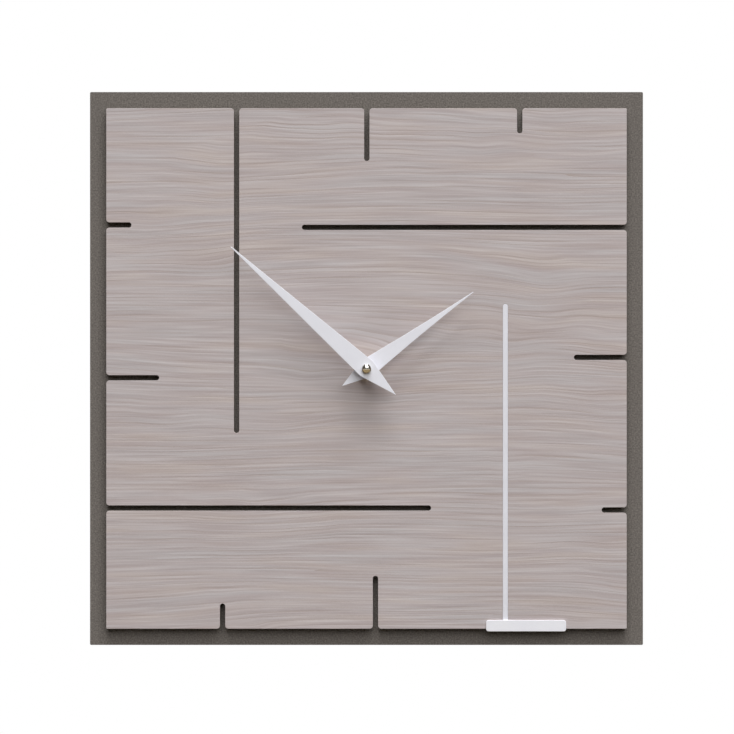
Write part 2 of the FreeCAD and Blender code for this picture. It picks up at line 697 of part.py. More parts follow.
def make_hanger_plate():
    """A steel plate over the pocket, with a keyhole that drops over a screw in the wall."""
    body = new_body("hanger_plate")
    rear = f"({BACK_REAR} - hanger_plate_thickness)"
    width, height = "hanger_plate_width / 2", "hanger_plate_height / 2"
    sketch = front_sketch(body, rear)
    rounded_rectangle(
        sketch, f"-{width}", width, f"hanger_height - {height}", f"hanger_height + {height}", "hanger_corner"
    )
    pad(body, sketch, "hanger_plate_thickness")
    keyhole_low = "hanger_height - keyhole_reach"
    keyhole_high = "hanger_height + keyhole_reach"
    pocket_circles(body, [("0", keyhole_low)], "keyhole_radius", rear, BACK_REAR)
    neck = front_sketch(body, BACK_REAR)
    outline(
        neck,
        [
            ("-keyhole_neck", keyhole_low),
            ("keyhole_neck", keyhole_low),
            ("keyhole_neck", keyhole_high, "0", keyhole_high, "left"),
            ("-keyhole_neck", keyhole_high),
        ],
    )
    pocket(body, neck, "hanger_plate_thickness")
    pocket_circles(body, HANGER_SCREWS, "hanger_screw_hole", rear, BACK_REAR)


def make_hanger_screws():
    body = new_body("hanger_screws")
    seat = f"({BACK_REAR} - hanger_plate_thickness)"
    head_rear = f"({seat} - hanger_head_height)"
    pad_circles(body, HANGER_SCREWS, "hanger_head_radius", head_rear, seat)
    pad_circles(body, HANGER_SCREWS, "hanger_screw_radius", seat, f"{BACK_REAR} + hanger_screw_length")
    cross_recess(body, HANGER_SCREWS, "hanger_head_radius", head_rear)


def make_panel_screws():
    """Eight screws from the back, sunk in counterbores, that hold the front board."""
    body = new_body("panel_screws")
    seat = f"({BACK_REAR} + counterbore_depth)"
    head_rear = f"({seat} - panel_head_height)"
    pad_circles(body, PANEL_SCREWS, "panel_head_radius", head_rear, seat)
    pad_circles(body, PANEL_SCREWS, "panel_screw_radius", seat, f"{BACK_FRONT} + panel_screw_bite")
    cross_recess(body, PANEL_SCREWS, "panel_head_radius", head_rear)


# ---------------------------------------------------------------- clamp on the front board


def make_rubber_washer():
    tube(new_body("rubber_washer"), "shaft_hole_radius", "rubber_radius", "case_front", BACK_FRONT)


def make_flat_washer():
    front = f"{FACE} + washer_thickness"
    tube(new_body("flat_washer"), "bush_radius + fit", "washer_radius", FACE, front)


def make_hex_nut():
    body = new_body("hex_nut")
    rear = f"({FACE} + washer_thickness)"
    sketch = front_sketch(body, rear)
    reach = "nut_flats / 2 / cos(30 deg)"
    outline(sketch, [(f"{reach} * cos({60 * k} deg)", f"{reach} * sin({60 * k} deg)") for k in range(6)])
    pad(body, sketch, "nut_thickness")
    pocket_circles(body, [("0", "0")], "bush_radius", rear, f"{rear} + nut_thickness")


def make_threaded_bush():
    """The brass bush, whose flange bears on the inside of the case's front wall."""
    body = new_body("threaded_bush")
    bore = "hour_tube_radius + fit"
    flange_rear = f"{CASE_INSIDE} - bush_flange_thickness"
    turned(
        body,
        [
            (bore, flange_rear),
            ("bush_flange_radius", flange_rear),
            ("bush_flange_radius", CASE_INSIDE),
            ("bush_radius", CASE_INSIDE),
            ("bush_radius", "bush_front - thread_relief"),
            ("bush_radius - thread_relief", "bush_front"),
            (bore, "bush_front"),
        ],
    )


# ---------------------------------------------------------------- movement case

POSTS = [("-post_x", "post_high"), ("post_x", "post_high"), ("-post_x", "post_low"), ("post_x", "post_low")]


def case_outline(sketch):
    rounded_rectangle(sketch, "-case_half", "case_half", "-case_half", "case_half", "case_corner")


def gear_room(sketch):
    rectangle(sketch, f"-{INNER_HALF}", INNER_HALF, GEAR_LOW, INNER_HALF)


def battery_bay(sketch):
    rectangle(sketch, f"-{INNER_HALF}", INNER_HALF, "bay_low", "bay_high")


def bored_boss(body, place, radius, hole, rear, front):
    """A boss on the case's front wall, with a pivot hole in its rear end."""
    pad_circles(body, [place], radius, rear, front)
    pocket_circles(body, [place], hole, rear, f"{rear} + pivot_hole")


def make_front_case():
    """The front case: the gears' room, the battery's bay, the plate's posts and the pivots."""
    body = new_body("movement_front_case")
    sketch = front_sketch(body, "case_split")
    case_outline(sketch)
    pad(body, sketch, "case_front - case_split")
    room = front_sketch(body, CASE_INSIDE)
    gear_room(room)
    pocket(body, room, f"{CASE_INSIDE} - case_split")
    bay = front_sketch(body, "bay_front")
    battery_bay(bay)
    pocket(body, bay, "bay_front - case_split")
    pocket_circles(body, [("0", "0")], "bush_radius", CASE_INSIDE, "case_front")
    pad_circles(body, POSTS, "post_radius", "bearing_front", CASE_INSIDE)
    arbor_hole = "arbor_radius + fit"
    bored_boss(body, (THIRD_X, THIRD_Z), "boss_radius", arbor_hole, "third_front_boss", CASE_INSIDE)
    knob_hole = "knob_pivot_radius + fit"
    bored_boss(body, (KNOB_X, KNOB_Z), "knob_boss_radius", knob_hole, "knob_boss_rear", CASE_INSIDE)
    pad_circles(body, [(MOTION_X, MOTION_Z)], "post_radius", "post_shoulder", CASE_INSIDE)
    pad_circles(body, [(MOTION_X, MOTION_Z)], "post_pin_radius", "post_pin_rear", "post_shoulder")


def cover_boss(body, place, hole, front):
    """A boss on the rear cover's floor, with a pivot hole in its front end."""
    pad_circles(body, [place], "boss_radius", COVER_INSIDE, front)
    pocket_circles(body, [place], hole, f"{front} - pivot_hole", front)


def make_rear_cover():
    """The rear cover: a shallow tray with the battery's opening and the knob's recess."""
    body = new_body("movement_rear_cover")
    sketch = front_sketch(body, "case_rear")
    case_outline(sketch)
    pad(body, sketch, "case_split - case_rear")
    room = front_sketch(body, "case_split")
    gear_room(room)
    pocket(body, room, f"case_split - {COVER_INSIDE}")
    bay = front_sketch(body, "case_split")
    battery_bay(bay)
    pocket(body, bay, "case_split - case_rear")
    knob = (KNOB_X, KNOB_Z)
    ring_front = "(knob_recess_front + knob_recess_wall)"
    pad_circles(body, [knob], "knob_recess_radius + knob_recess_wall", COVER_INSIDE, ring_front)
    pocket_circles(body, [knob], "knob_recess_radius", "case_rear", "knob_recess_front")
    pocket_circles(body, [knob], "knob_arbor_radius + fit", "knob_recess_front", ring_front)
    pad_circles(body, POSTS, "post_radius", COVER_INSIDE, "bearing_rear")
    cover_boss(body, ("0", "0"), "arbor_radius + fit", "low_boss")
    cover_boss(body, (STEP_X, STEP_Z), "fine_arbor_radius + fit", "low_boss")
    cover_boss(body, (THIRD_X, THIRD_Z), "arbor_radius + fit", "third_rear_boss")
    cover_boss(body, (ROTOR_X, ROTOR_Z), "fine_arbor_radius + fit", "rotor_boss")


def make_bearing_plate():
    """The plate between the two layers of gears, clamped between the posts of case and cover."""
    body = new_body("bearing_plate")
    side = f"({INNER_HALF} - bearing_gap)"
    sketch = front_sketch(body, "bearing_rear")
    rectangle(sketch, f"-{side}", side, f"{GEAR_LOW} + bearing_gap", side)
    pad(body, sketch, "bearing_front - bearing_rear")
    holes = [
        (("0", "0"), "arbor_radius + fit"),
        ((THIRD_X, THIRD_Z), "boss_radius + bearing_gap"),
        ((STEP_X, STEP_Z), "fine_arbor_radius + fit"),
        ((ROTOR_X, ROTOR_Z), "fine_arbor_radius + fit"),
        ((KNOB_X, KNOB_Z), "knob_arbor_radius + fit"),
    ]
    for place, radius in holes:
        pocket_circles(body, [place], radius, "bearing_rear", "bearing_front")


# ---------------------------------------------------------------- motor and circuit


def make_stator():
    """The soft iron stator: a hole around the magnet, and a limb that carries the coil."""
    body = new_body("stator")
    front = "(stator_rear + stator_thickness)"
    sketch = front_sketch(body, "stator_rear")
    rectangle(sketch, "stator_left", "stator_right", "stator_low", "stator_high")
    pad(body, sketch, "stator_thickness")
    pocket_circles(body, [(ROTOR_X, ROTOR_Z)], "stator_bore", "stator_rear", front)
    window = front_sketch(body, front)
    limb_left, limb_right = "coil_x - core_half_width", "coil_x + core_half_width"
    rectangle(window, "stator_window_left", limb_left, "stator_window_low", "stator_window_high")
    pocket(body, window, "stator_thickness")
    edge = front_sketch(body, front)
    rectangle(edge, limb_right, "stator_right", "stator_window_low", "stator_window_high")
    pocket(body, edge, "stator_thickness")


def coil_block(name, half_width, half_depth, low, high):
    """A box about the coil's axis."""
    return block(
        name,
        f"coil_x - {half_width}",
        f"coil_x + {half_width}",
        low,
        high,
        f"coil_depth - {half_depth}",
        f"coil_depth + {half_depth}",
    )


def make_coil():
    """The bobbin on the stator's limb, and the copper wound on it."""
    core = ("(core_half_width + bobbin_wall)", "(stator_thickness / 2 + bobbin_wall)")
    inner_low, inner_high = "(bobbin_low + bobbin_flange)", "(bobbin_high - bobbin_flange)"
    body = fused(
        "bobbin_body",
        coil_block("bobbin_core", *core, inner_low, inner_high),
        coil_block("bobbin_low_flange", "bobbin_half", "bobbin_half", "bobbin_low", inner_low),
        coil_block("bobbin_high_flange", "bobbin_half", "bobbin_half", inner_high, "bobbin_high"),
    )
    limb = coil_block("bobbin_hole", "core_half_width", "stator_thickness / 2", "bobbin_low", "bobbin_high")
    keep("coil_bobbin", cut("coil_bobbin", body, limb))
    copper = doc.addObject("Part::Cylinder", "winding_body")
    bind(copper, "Radius", "winding_radius")
    bind(copper, "Height", f"{inner_high} - {inner_low}")
    bind(copper, "Placement.Base.x", "coil_x")
    bind(copper, "Placement.Base.y", "-coil_depth")
    bind(copper, "Placement.Base.z", inner_low)
    hollow = coil_block("winding_hole", *core, inner_low, inner_high)
    keep("coil_winding", cut("coil_winding", copper, hollow))


def make_circuit():
    """The circuit board behind the bearing plate, with its chip and its quartz crystal."""
    board_rear = "(bearing_rear - board_thickness)"
    board = block(
        "circuit_board", "board_left", "board_right", "board_low", "board_high", board_rear, "bearing_rear"
    )
    keep("circuit_board", board)
    chip = block(
        "driver_chip",
        "chip_left",
        "chip_left + chip_side",
        "chip_low",
        "chip_low + chip_side",
        f"{board_rear} - chip_thickness",
        board_rear,
    )
    keep("driver_chip", chip)
    can_right = "crystal_left + crystal_length"
    can_depth = f"{board_rear} - crystal_radius"
    can = rod_along_x(
        "quartz_crystal", "crystal_radius", "crystal_left", can_right, "crystal_height", can_depth
    )
    keep("quartz_crystal", can)


def make_battery():
    """The battery: a steel can with a raised terminal, in a plastic sleeve."""
    axis = ("battery_height", "battery_depth")
    can = rod_along_x("cell_can", "cell_radius", "cell_left", "cell_right", *axis)
    nub = rod_along_x("cell_nub", "nub_radius", "cell_right", "cell_right + nub_length", *axis)
    keep("battery_cell", fused("battery_cell", can, nub))
    ends = ("cell_left + sleeve_margin", "cell_right - sleeve_margin")
    skin = rod_along_x("sleeve_outside", "cell_radius + sleeve_thickness", *ends, *axis)
    hole = rod_along_x("sleeve_inside", "cell_radius", *ends, *axis)
    keep("battery_sleeve", cut("battery_sleeve", skin, hole))


def battery_contact(label, plate_ends, bump_ends):
    sides = ("contact_low", "contact_high", "contact_rear", "contact_front")
    plate = block(f"{label}_leaf", *plate_ends, *sides)
    bump = rod_along_x(f"{label}_bump", "contact_bump_radius", *bump_ends, "battery_height", "battery_depth")
    keep(label, fused(label, plate, bump))


def make_battery_contacts():
    """A metal leaf on each end wall of the bay, with a bump towards the battery."""
    left_face = f"(contact_thickness - {INNER_HALF})"
    right_face = f"({INNER_HALF} - contact_thickness)"
    nub_end = "cell_right + nub_length + contact_gap"
    battery_contact(
        "battery_contact_negative", (f"-{INNER_HALF}", left_face), (left_face, "cell_left - contact_gap")
    )
    battery_contact("battery_contact_positive", (right_face, INNER_HALF), (nub_end, right_face))


# ---------------------------------------------------------------- gears


def involute(angle):
    return math.tan(angle) - angle


def on_circle(radius, angle):
    """A point of the dial's plane at a radius and an angle, measured from X towards Z."""
    return Vector(radius * math.cos(angle), 0, radius * math.sin(angle))


def toothed_disc(teeth, module, rear, front, phase):
    """A disc with involute teeth about the Y axis; one tooth points in the phase direction.

    Each flank is one arc through three points of its involute, and a straight line below the
    base circle.
    """
    pressure = math.radians(value("pressure_angle"))
    pitch_radius = teeth * module / 2
    base_radius = pitch_radius * math.cos(pressure)
    tip_radius = pitch_radius + value("tooth_head") * module
    root_radius = pitch_radius - value("tooth_foot") * module
    flank_radius = max(root_radius, base_radius)
    tooth_width = math.pi * module / 2 - value("backlash") * module
    pitch_angle = 2 * math.pi / teeth

    def half_angle(radius):
        steepness = math.acos(min(1.0, base_radius / radius))
        return tooth_width / (2 * pitch_radius) + involute(pressure) - involute(steepness)

    middle_radius = (flank_radius + tip_radius) / 2
    edges = []
    for number in range(teeth):
        tooth = math.radians(phase) + number * pitch_angle
        foot, middle, top = (half_angle(radius) for radius in (flank_radius, middle_radius, tip_radius))
        left = [on_circle(flank_radius, tooth - foot), on_circle(middle_radius, tooth - middle)]
        left.append(on_circle(tip_radius, tooth - top))
        right = [on_circle(tip_radius, tooth + top), on_circle(middle_radius, tooth + middle)]
        right.append(on_circle(flank_radius, tooth + foot))
        root_end = on_circle(root_radius, tooth + foot)
        root_middle = on_circle(root_radius, tooth + pitch_angle / 2)
        next_root = on_circle(root_radius, tooth + pitch_angle - foot)
        if flank_radius > root_radius:
            edges.append(Part.LineSegment(on_circle(root_radius, tooth - foot), left[0]).toShape())
        edges.append(Part.Arc(*left).toShape())
        edges.append(Part.Arc(left[2], on_circle(tip_radius, tooth), right[0]).toShape())
        edges.append(Part.Arc(*right).toShape())
        if flank_radius > root_radius:
            edges.append(Part.LineSegment(right[2], root_end).toShape())
        edges.append(Part.Arc(root_end, root_middle, next_root).toShape())
    face = Part.Face(Part.Wire(edges))
    face.translate(Vector(0, -rear, 0))
    return face.extrude(Vector(0, rear - front, 0))


def shaft(radius, rear, front):
    """A solid cylinder about the Y axis between two depths."""
    return Part.makeCylinder(radius, front - rear, Vector(0, -front, 0), Vector(0, 1, 0))


def wheel(label, pieces, bore, x, z):
    """Joins coaxial pieces into one wheel, bores it where bore is a radius, and places it."""
    shape = pieces[0].multiFuse(pieces[1:]) if len(pieces) > 1 else pieces[0]
    if bore:
        bounds = shape.BoundBox
        shape = shape.cut(shaft(bore, -bounds.YMax, -bounds.YMin))
    feature = doc.addObject("Part::Feature", label)
    feature.Label = label
    feature.Shape = shape
    feature.Placement = Placement(Vector(x, 0, z), Rotation())
    sub_parts.append(feature)


def mesh_phase(driver_teeth, driver_phase, teeth, direction):
    """The phase of a wheel that puts its gap on the tooth of a driver in that direction."""
    turn = (direction - driver_phase) * driver_teeth / teeth
    return direction + 180 + 180 / teeth + turn


def direction_between(start, end):
    return math.degrees(math.atan2(end[1] - start[1], end[0] - start[0]))


def make_train():
    """The step motor's train: rotor, intermediate, seconds, third and centre wheels."""
    third, step, rotor = (
        (value(x), value(z))
        for x, z in ((THIRD_X, THIRD_Z), (STEP_X, STEP_Z), (ROTOR_X, ROTOR_Z))
    )
    centre = (0.0, 0.0)
    small = int(value("pinion_teeth"))
    step_teeth, seconds_teeth = int(value("intermediate_teeth")), int(value("seconds_teeth"))
    third_teeth, centre_teeth = int(value("third_teeth")), int(value("centre_teeth"))
    fine, middle = value("rotor_module"), value("seconds_module")
    coarse = middle * (small + third_teeth) / (small + centre_teeth)
    arbor, fine_arbor = value("arbor_radius"), value("fine_arbor_radius")
    thick, thin = value("wheel_thickness"), value("thin_wheel")
    seconds_rear, step_rear = value("seconds_wheel_rear"), value("intermediate_wheel_rear")
    third_rear, centre_rear = value("third_wheel_rear"), value("centre_wheel_rear")
    pivot_end = value("plate_pivot_end")
    pivot_reach = value("pivot_reach")

    wheel(
        "seconds_wheel",
        [
            toothed_disc(seconds_teeth, middle, seconds_rear, seconds_rear + thick, 0),
            toothed_disc(small, middle, third_rear, third_rear + thick, 0),
            shaft(arbor, value("seconds_arbor_rear"), value("seconds_arbor_front")),
        ],
        None,
        *centre,
    )
    step_phase = mesh_phase(seconds_teeth, 0, small, value("intermediate_direction"))
    wheel(
        "intermediate_wheel",
        [
            toothed_disc(small, middle, seconds_rear, seconds_rear + thick, step_phase),
            toothed_disc(step_teeth, fine, step_rear, step_rear + thin, 0),
            shaft(fine_arbor, value("low_boss") - pivot_reach, pivot_end),
        ],
        None,
        *step,
    )
    rotor_phase = mesh_phase(step_teeth, 0, small, value("rotor_direction"))
    wheel(
        "rotor_pinion",
        [
            toothed_disc(small, fine, step_rear, step_rear + thin, rotor_phase),
            shaft(fine_arbor, value("rotor_arbor_rear"), pivot_end),
        ],
        None,
        *rotor,
    )
    magnet = shaft(value("magnet_radius"), value("magnet_rear"), value("magnet_front"))
    wheel("rotor_magnet", [magnet], fine_arbor, *rotor)
    third_phase = mesh_phase(small, 0, third_teeth, value("third_direction"))
    wheel(
        "third_wheel",
        [
            toothed_disc(third_teeth, middle, third_rear, third_rear + thick, third_phase),
            toothed_disc(small, coarse, centre_rear, centre_rear + thick, 0),
            shaft(arbor, value("third_rear_boss") - pivot_reach, value("third_front_boss") + pivot_reach),
        ],
        None,
        *third,
    )
    centre_phase = mesh_phase(small, 0, centre_teeth, direction_between(third, centre))
    centre_disc = toothed_disc(centre_teeth, coarse, centre_rear, centre_rear + thick, centre_phase)
    wheel("centre_wheel", [centre_disc], value("minute_tube_radius + fit"), *centre)


def make_hand_train():
    """The hands' own train: cannon pinion, motion wheel, hour wheel and setting knob."""
    centre = (0.0, 0.0)
    post = (value(MOTION_X), value(MOTION_Z))
    knob = (value(KNOB_X), value(KNOB_Z))
    cannon_teeth, motion_teeth = int(value("cannon_teeth")), int(value("motion_teeth"))
    small, hour_teeth = int(value("motion_pinion_teeth")), int(value("hour_teeth"))
    module = value("cannon_module")
    hour_module = module * (cannon_teeth + motion_teeth) / (small + hour_teeth)
    cannon_rear, hour_rear = value("cannon_rear"), value("hour_wheel_rear")
    thick, thicker = value("wheel_thickness"), value("thick_wheel")
    cannon_front, hour_front = cannon_rear + thick, hour_rear + thicker

    wheel(
        "minute_arbor",
        [
            toothed_disc(cannon_teeth, module, cannon_rear, cannon_front, 0),
            shaft(value("minute_tube_radius"), value("minute_tube_rear"), value("minute_tube_front")),
        ],
        value("arbor_radius + fit"),
        *centre,
    )
    motion_phase = mesh_phase(cannon_teeth, 0, motion_teeth, value("motion_direction"))
    wheel(
        "motion_wheel",
        [
            toothed_disc(motion_teeth, module, cannon_rear, cannon_front, motion_phase),
            shaft(value("boss_radius"), cannon_front, hour_rear),
            toothed_disc(small, hour_module, hour_rear, hour_front, 0),
        ],
        value("post_pin_radius + fit"),
        *post,
    )
    hour_phase = mesh_phase(small, 0, hour_teeth, direction_between(post, centre))
    wheel(
        "hour_wheel",
        [
            toothed_disc(hour_teeth, hour_module, hour_rear, hour_front, hour_phase),
            shaft(value("hour_tube_radius"), hour_rear, value("hour_tube_front")),
        ],
        value("minute_tube_radius + fit"),
        *centre,
    )
    knob_phase = mesh_phase(motion_teeth, motion_phase, cannon_teeth, value("knob_direction"))
    wheel(
        "set_knob",
        [
            scalloped_knob(),
            shaft(value("knob_arbor_radius"), value("knob_front"), cannon_rear),
            toothed_disc(cannon_teeth, module, cannon_rear, cannon_front, knob_phase),
            shaft(value("knob_pivot_radius"), cannon_front, value("knob_pivot_front")),
        ],
        None,
        *knob,
    )


def scalloped_knob():
    """The knob's disc, with small grooves around its rim for the finger."""
    radius = value("knob_radius")
    rear, front = value("knob_rear"), value("knob_front")
    count = int(value("knob_scallops"))
    disc = shaft(radius, rear, front)
    grooves = []
    for number in range(count):
        groove = shaft(value("scallop_radius"), rear, front)
        groove.translate(on_circle(radius, 2 * math.pi * number / count))
        grooves.append(groove)
    return disc.cut(grooves)


# ---------------------------------------------------------------- hands


def hand_collar(body, radius, bore, rear):
    """The collar behind a hand, and the hole for the arbor that carries it."""
    pad_circles(body, [("0", "0")], radius, f"({rear}) - collar_height", rear)
    pocket_circles(
        body, [("0", "0")], bore, f"({rear}) - collar_height", f"({rear}) + hand_thickness"
    )


def turn_hand(body, angle):
    """Points a hand, modelled upright, clockwise from 12."""
    body.Placement = Placement(Vector(0, 0, 0), Rotation(Vector(0, 1, 0), value(angle)))
    bind(body, "Placement.Rotation.Angle", angle)


def make_hour_hand():
    """A kite with a blunt tip, whose two long edges curve inward a little."""
    body = new_body("hour_hand")
    rear = "hour_front - hand_thickness"
    taper = "(hand_half_width - tip_half_width)"
    chord = f"sqrt(hour_tip ^ 2 + {taper} ^ 2)"
    reach = f"(({chord}) ^ 2 / 8 / hour_waist - hour_waist / 2)"
    centre_x = f"((hand_half_width + tip_half_width) / 2 + {reach} * hour_tip / {chord})"
    centre_z = f"(hour_tip / 2 + {reach} * {taper} / {chord})"
    sketch = front_sketch(body, rear)
    outline(
        sketch,
        [
            ("tip_half_width", "hour_tip", centre_x, centre_z, "left"),
            ("hand_half_width", "0"),
            ("0", "-hour_tail"),
            ("-hand_half_width", "0", f"-{centre_x}", centre_z, "left"),
            ("-tip_half_width", "hour_tip"),
        ],
    )
    pad(body, sketch, "hand_thickness")
    hand_collar(body, "hour_collar_radius", "hour_tube_radius", rear)
    turn_hand(body, "hour_angle")


def make_minute_hand():
    """A straight-sided kite with a blunt tip."""
    body = new_body("minute_hand")
    rear = "minute_front - hand_thickness"
    sketch = front_sketch(body, rear)
    outline(
        sketch,
        [
            ("tip_half_width", "minute_tip"),
            ("hand_half_width", "0"),
            ("0", "-minute_tail"),
            ("-hand_half_width", "0"),
            ("-tip_half_width", "minute_tip"),
        ],
    )
    pad(body, sketch, "hand_thickness")
    hand_collar(body, "minute_collar_radius", "minute_tube_radius", rear)
    turn_hand(body, "minute_angle")


def make_cap_nut():
    """A domed nut on the end of the minute arbor; its dome is an arc through rim and top."""
    body = new_body("cap_nut")
    rim = "(minute_front + cap_wall)"
    dome_radius = "((cap_radius ^ 2 + cap_dome ^ 2) / 2 / cap_dome)"
    turned(
        body,
        [
            ("minute_tube_radius", "minute_front"),
            ("cap_radius", "minute_front"),
            ("cap_radius", rim, "0", f"{rim} + cap_dome - {dome_radius}", "right"),
            ("0", f"{rim} + cap_dome"),
            ("0", "cap_bore_front"),
            ("minute_tube_radius", "cap_bore_front"),
        ],
    )


# ---------------------------------------------------------------- build, check, write


def build():
    fill_sheet()
    make_wall_bumpers()
    make_back_board()
    make_front_board()
    make_face_veneer()
    make_accent_strip()
    make_blank_nameplate()
    make_hanger_plate()
    make_hanger_screws()
    make_panel_screws()
    make_rubber_washer()
    make_flat_washer()
    make_hex_nut()
    make_threaded_bush()
    make_front_case()
    make_rear_cover()
    make_bearing_plate()
    make_stator()
    make_coil()
    make_circuit()
    make_battery()
    make_battery_contacts()
    make_train()
    make_hand_train()
    make_hour_hand()
    make_minute_hand()
    make_cap_nut()
    doc.recompute()


def check():
    """Stops if an object failed, a pocket removed nothing, or a sub-part isn't a valid solid."""
    for item in doc.Objects:
        if "Invalid" in item.State or "Error" in item.State:
            raise RuntimeError(f"{item.Label} failed: {item.State}")
        if item.TypeId == "PartDesign::Pocket":
            if item.Shape.Volume >= item.BaseFeature.Shape.Volume:
                raise RuntimeError(f"{item.Label} removes nothing")
    for piece in sub_parts:
        if piece.Shape.isNull() or not piece.Shape.isValid() or not piece.Shape.Solids:
            raise RuntimeError(f"{piece.Label} has no valid solid")


def write():
    os.makedirs("parts", exist_ok=True)
    for piece in sub_parts:
        piece.Shape.exportStep(f"parts/{piece.Label}.step")
        print(f"{piece.Label}: {len(piece.Shape.Solids)} solid(s), {piece.Shape.Volume:.1f} mm3")


build()
check()
write()
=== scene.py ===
import math

import bmesh
import bpy
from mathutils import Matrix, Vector


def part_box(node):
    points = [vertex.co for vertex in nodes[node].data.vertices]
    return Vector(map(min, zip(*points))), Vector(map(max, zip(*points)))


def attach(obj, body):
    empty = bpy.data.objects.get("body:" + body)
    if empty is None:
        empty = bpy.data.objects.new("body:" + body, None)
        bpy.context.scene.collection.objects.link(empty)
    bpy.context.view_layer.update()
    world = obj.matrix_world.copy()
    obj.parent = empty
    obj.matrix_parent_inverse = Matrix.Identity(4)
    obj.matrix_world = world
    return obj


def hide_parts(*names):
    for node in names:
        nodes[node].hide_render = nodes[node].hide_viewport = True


# The looks of a square wall clock, built around its CAD frame. Lengths are in metres, and MM turns
# millimetres into them. +X is to the right of the dial, +Z is up and the dial faces -Y. The wall is at
# Y 0, and the hands turn about the Y axis.

MM = 0.001
TURN = 2 * math.pi

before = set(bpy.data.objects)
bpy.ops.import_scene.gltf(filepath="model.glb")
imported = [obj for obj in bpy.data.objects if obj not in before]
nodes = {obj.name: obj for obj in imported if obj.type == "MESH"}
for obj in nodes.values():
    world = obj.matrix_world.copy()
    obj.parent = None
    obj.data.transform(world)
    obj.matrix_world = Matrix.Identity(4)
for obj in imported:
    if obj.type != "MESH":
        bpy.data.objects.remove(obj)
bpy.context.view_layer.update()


# ---------------------------------------------------------------- camera, light and floor

CAMERA_DISTANCE = 2.518     # from the wall
CAMERA_HEIGHT = 0.95 * MM   # above the axis of the hands
CAMERA_OFFSET = 0.32 * MM   # to the right of it
LENS_LENGTH = 193.7         # in millimetres, like the sensor's width
SENSOR_WIDTH = 36
NEAREST_SEEN = 0.01
FARTHEST_SEEN = 50

# A softbox's side angle turns from straight in front of the dial towards its right, and its rise angle
# goes up from level. Both are in degrees, and powers are in watts.
SOFTBOXES = {
    "key_softbox": {
        "side_angle": 14, "rise_angle": 36, "distance": 10.0, "width": 12.0, "height": 8.0, "power": 775,
    },
    "top_softbox": {
        "side_angle": 6, "rise_angle": 72, "distance": 14.0, "width": 8.75, "height": 4.55, "power": 2040,
    },
    "rear_softbox": {
        "side_angle": 215, "rise_angle": 30, "distance": 4.0, "width": 4.2, "height": 3.2, "power": 170,
    },
}
LAMP_COLOUR = (1.0, 0.995, 0.985)
FILL_ABOVE = (0.094, 0.086, 0.074)
FILL_BELOW = (0.050, 0.035, 0.010)
FILL_FADE = (-0.3, 0.5)     # the heights of a direction between which the fill changes
BACKDROP = (1.0, 1.0, 1.0)

FLOOR_HEIGHT = -0.9
FLOOR_RADIUS = 6.5
FLOOR_SIDES = 96


def make_camera():
    """A long lens square to the dial, level with the axis of the hands."""
    data = bpy.data.cameras.new("camera")
    data.sensor_width = SENSOR_WIDTH
    data.lens = LENS_LENGTH
    data.clip_start = NEAREST_SEEN
    data.clip_end = FARTHEST_SEEN
    camera = bpy.data.objects.new("camera", data)
    camera.location = (CAMERA_OFFSET, -CAMERA_DISTANCE, CAMERA_HEIGHT)
    camera.rotation_euler = (math.radians(90), 0, 0)
    bpy.context.scene.collection.objects.link(camera)
    bpy.context.scene.camera = camera


def make_softbox(name, side_angle, rise_angle, distance, width, height, power):
    """A soft rectangular light at the given angles, aimed at the middle of the clock."""
    side = math.radians(side_angle)
    rise = math.radians(rise_angle)
    level = math.cos(rise)
    towards = Vector((math.sin(side) * level, -math.cos(side) * level, math.sin(rise)))
    data = bpy.data.lights.new(name, "AREA")
    data.shape = "RECTANGLE"
    data.size = width
    data.size_y = height
    data.energy = power
    data.color = LAMP_COLOUR
    light = bpy.data.objects.new(name, data)
    light.location = towards * distance
    light.rotation_euler = towards.to_track_quat("Z", "Y").to_euler()
    light.visible_camera = False
    bpy.context.scene.collection.objects.link(light)


def make_surroundings():
    """A dim fill, fading from above to below, and a backdrop that only the camera sees."""
    world = bpy.data.worlds.new("studio")
    world.use_nodes = True
    tree = world.node_tree
    tree.nodes.clear()
    direction = tree.nodes.new("ShaderNodeTexCoord")
    parts = tree.nodes.new("ShaderNodeSeparateXYZ")
    fade = tree.nodes.new("ShaderNodeMapRange")
    fade.inputs["From Min"].default_value = FILL_FADE[0]
    fade.inputs["From Max"].default_value = FILL_FADE[1]
    tone = tree.nodes.new("ShaderNodeMix")
    tone.data_type = "RGBA"
    ends = [socket for socket in tone.inputs if socket.type == "RGBA"]
    ends[0].default_value = (*FILL_BELOW, 1)
    ends[1].default_value = (*FILL_ABOVE, 1)
    blend = [socket for socket in tone.outputs if socket.type == "RGBA"][0]
    lighting = tree.nodes.new("ShaderNodeBackground")
    seen = tree.nodes.new("ShaderNodeBackground")
    seen.inputs["Color"].default_value = (*BACKDROP, 1)
    path = tree.nodes.new("ShaderNodeLightPath")
    choice = tree.nodes.new("ShaderNodeMixShader")
    output = tree.nodes.new("ShaderNodeOutputWorld")
    links = (
        (direction.outputs["Generated"], parts.inputs[0]),
        (parts.outputs["Z"], fade.inputs["Value"]),
        (fade.outputs["Result"], tone.inputs["Factor"]),
        (blend, lighting.inputs["Color"]),
        (path.outputs["Is Camera Ray"], choice.inputs["Fac"]),
        (lighting.outputs[0], choice.inputs[1]),
        (seen.outputs[0], choice.inputs[2]),
        (choice.outputs[0], output.inputs["Surface"]),
    )
    for source, target in links:
        tree.links.new(source, target)
    bpy.context.scene.world = world


def make_floor():
    """A round sheet of studio paper well below the clock."""
    rim = [(x, y, 0) for x, _, y in ring(FLOOR_RADIUS, 0, FLOOR_SIDES)]
    mesh = bpy.data.meshes.new("floor")
    mesh.from_pydata(rim, [], [range(FLOOR_SIDES)])
    mesh.materials.append(studio_floor())
    floor = bpy.data.objects.new("floor", mesh)
    floor.location.z = FLOOR_HEIGHT
    floor.visible_diffuse = False
    bpy.context.scene.collection.objects.link(floor)


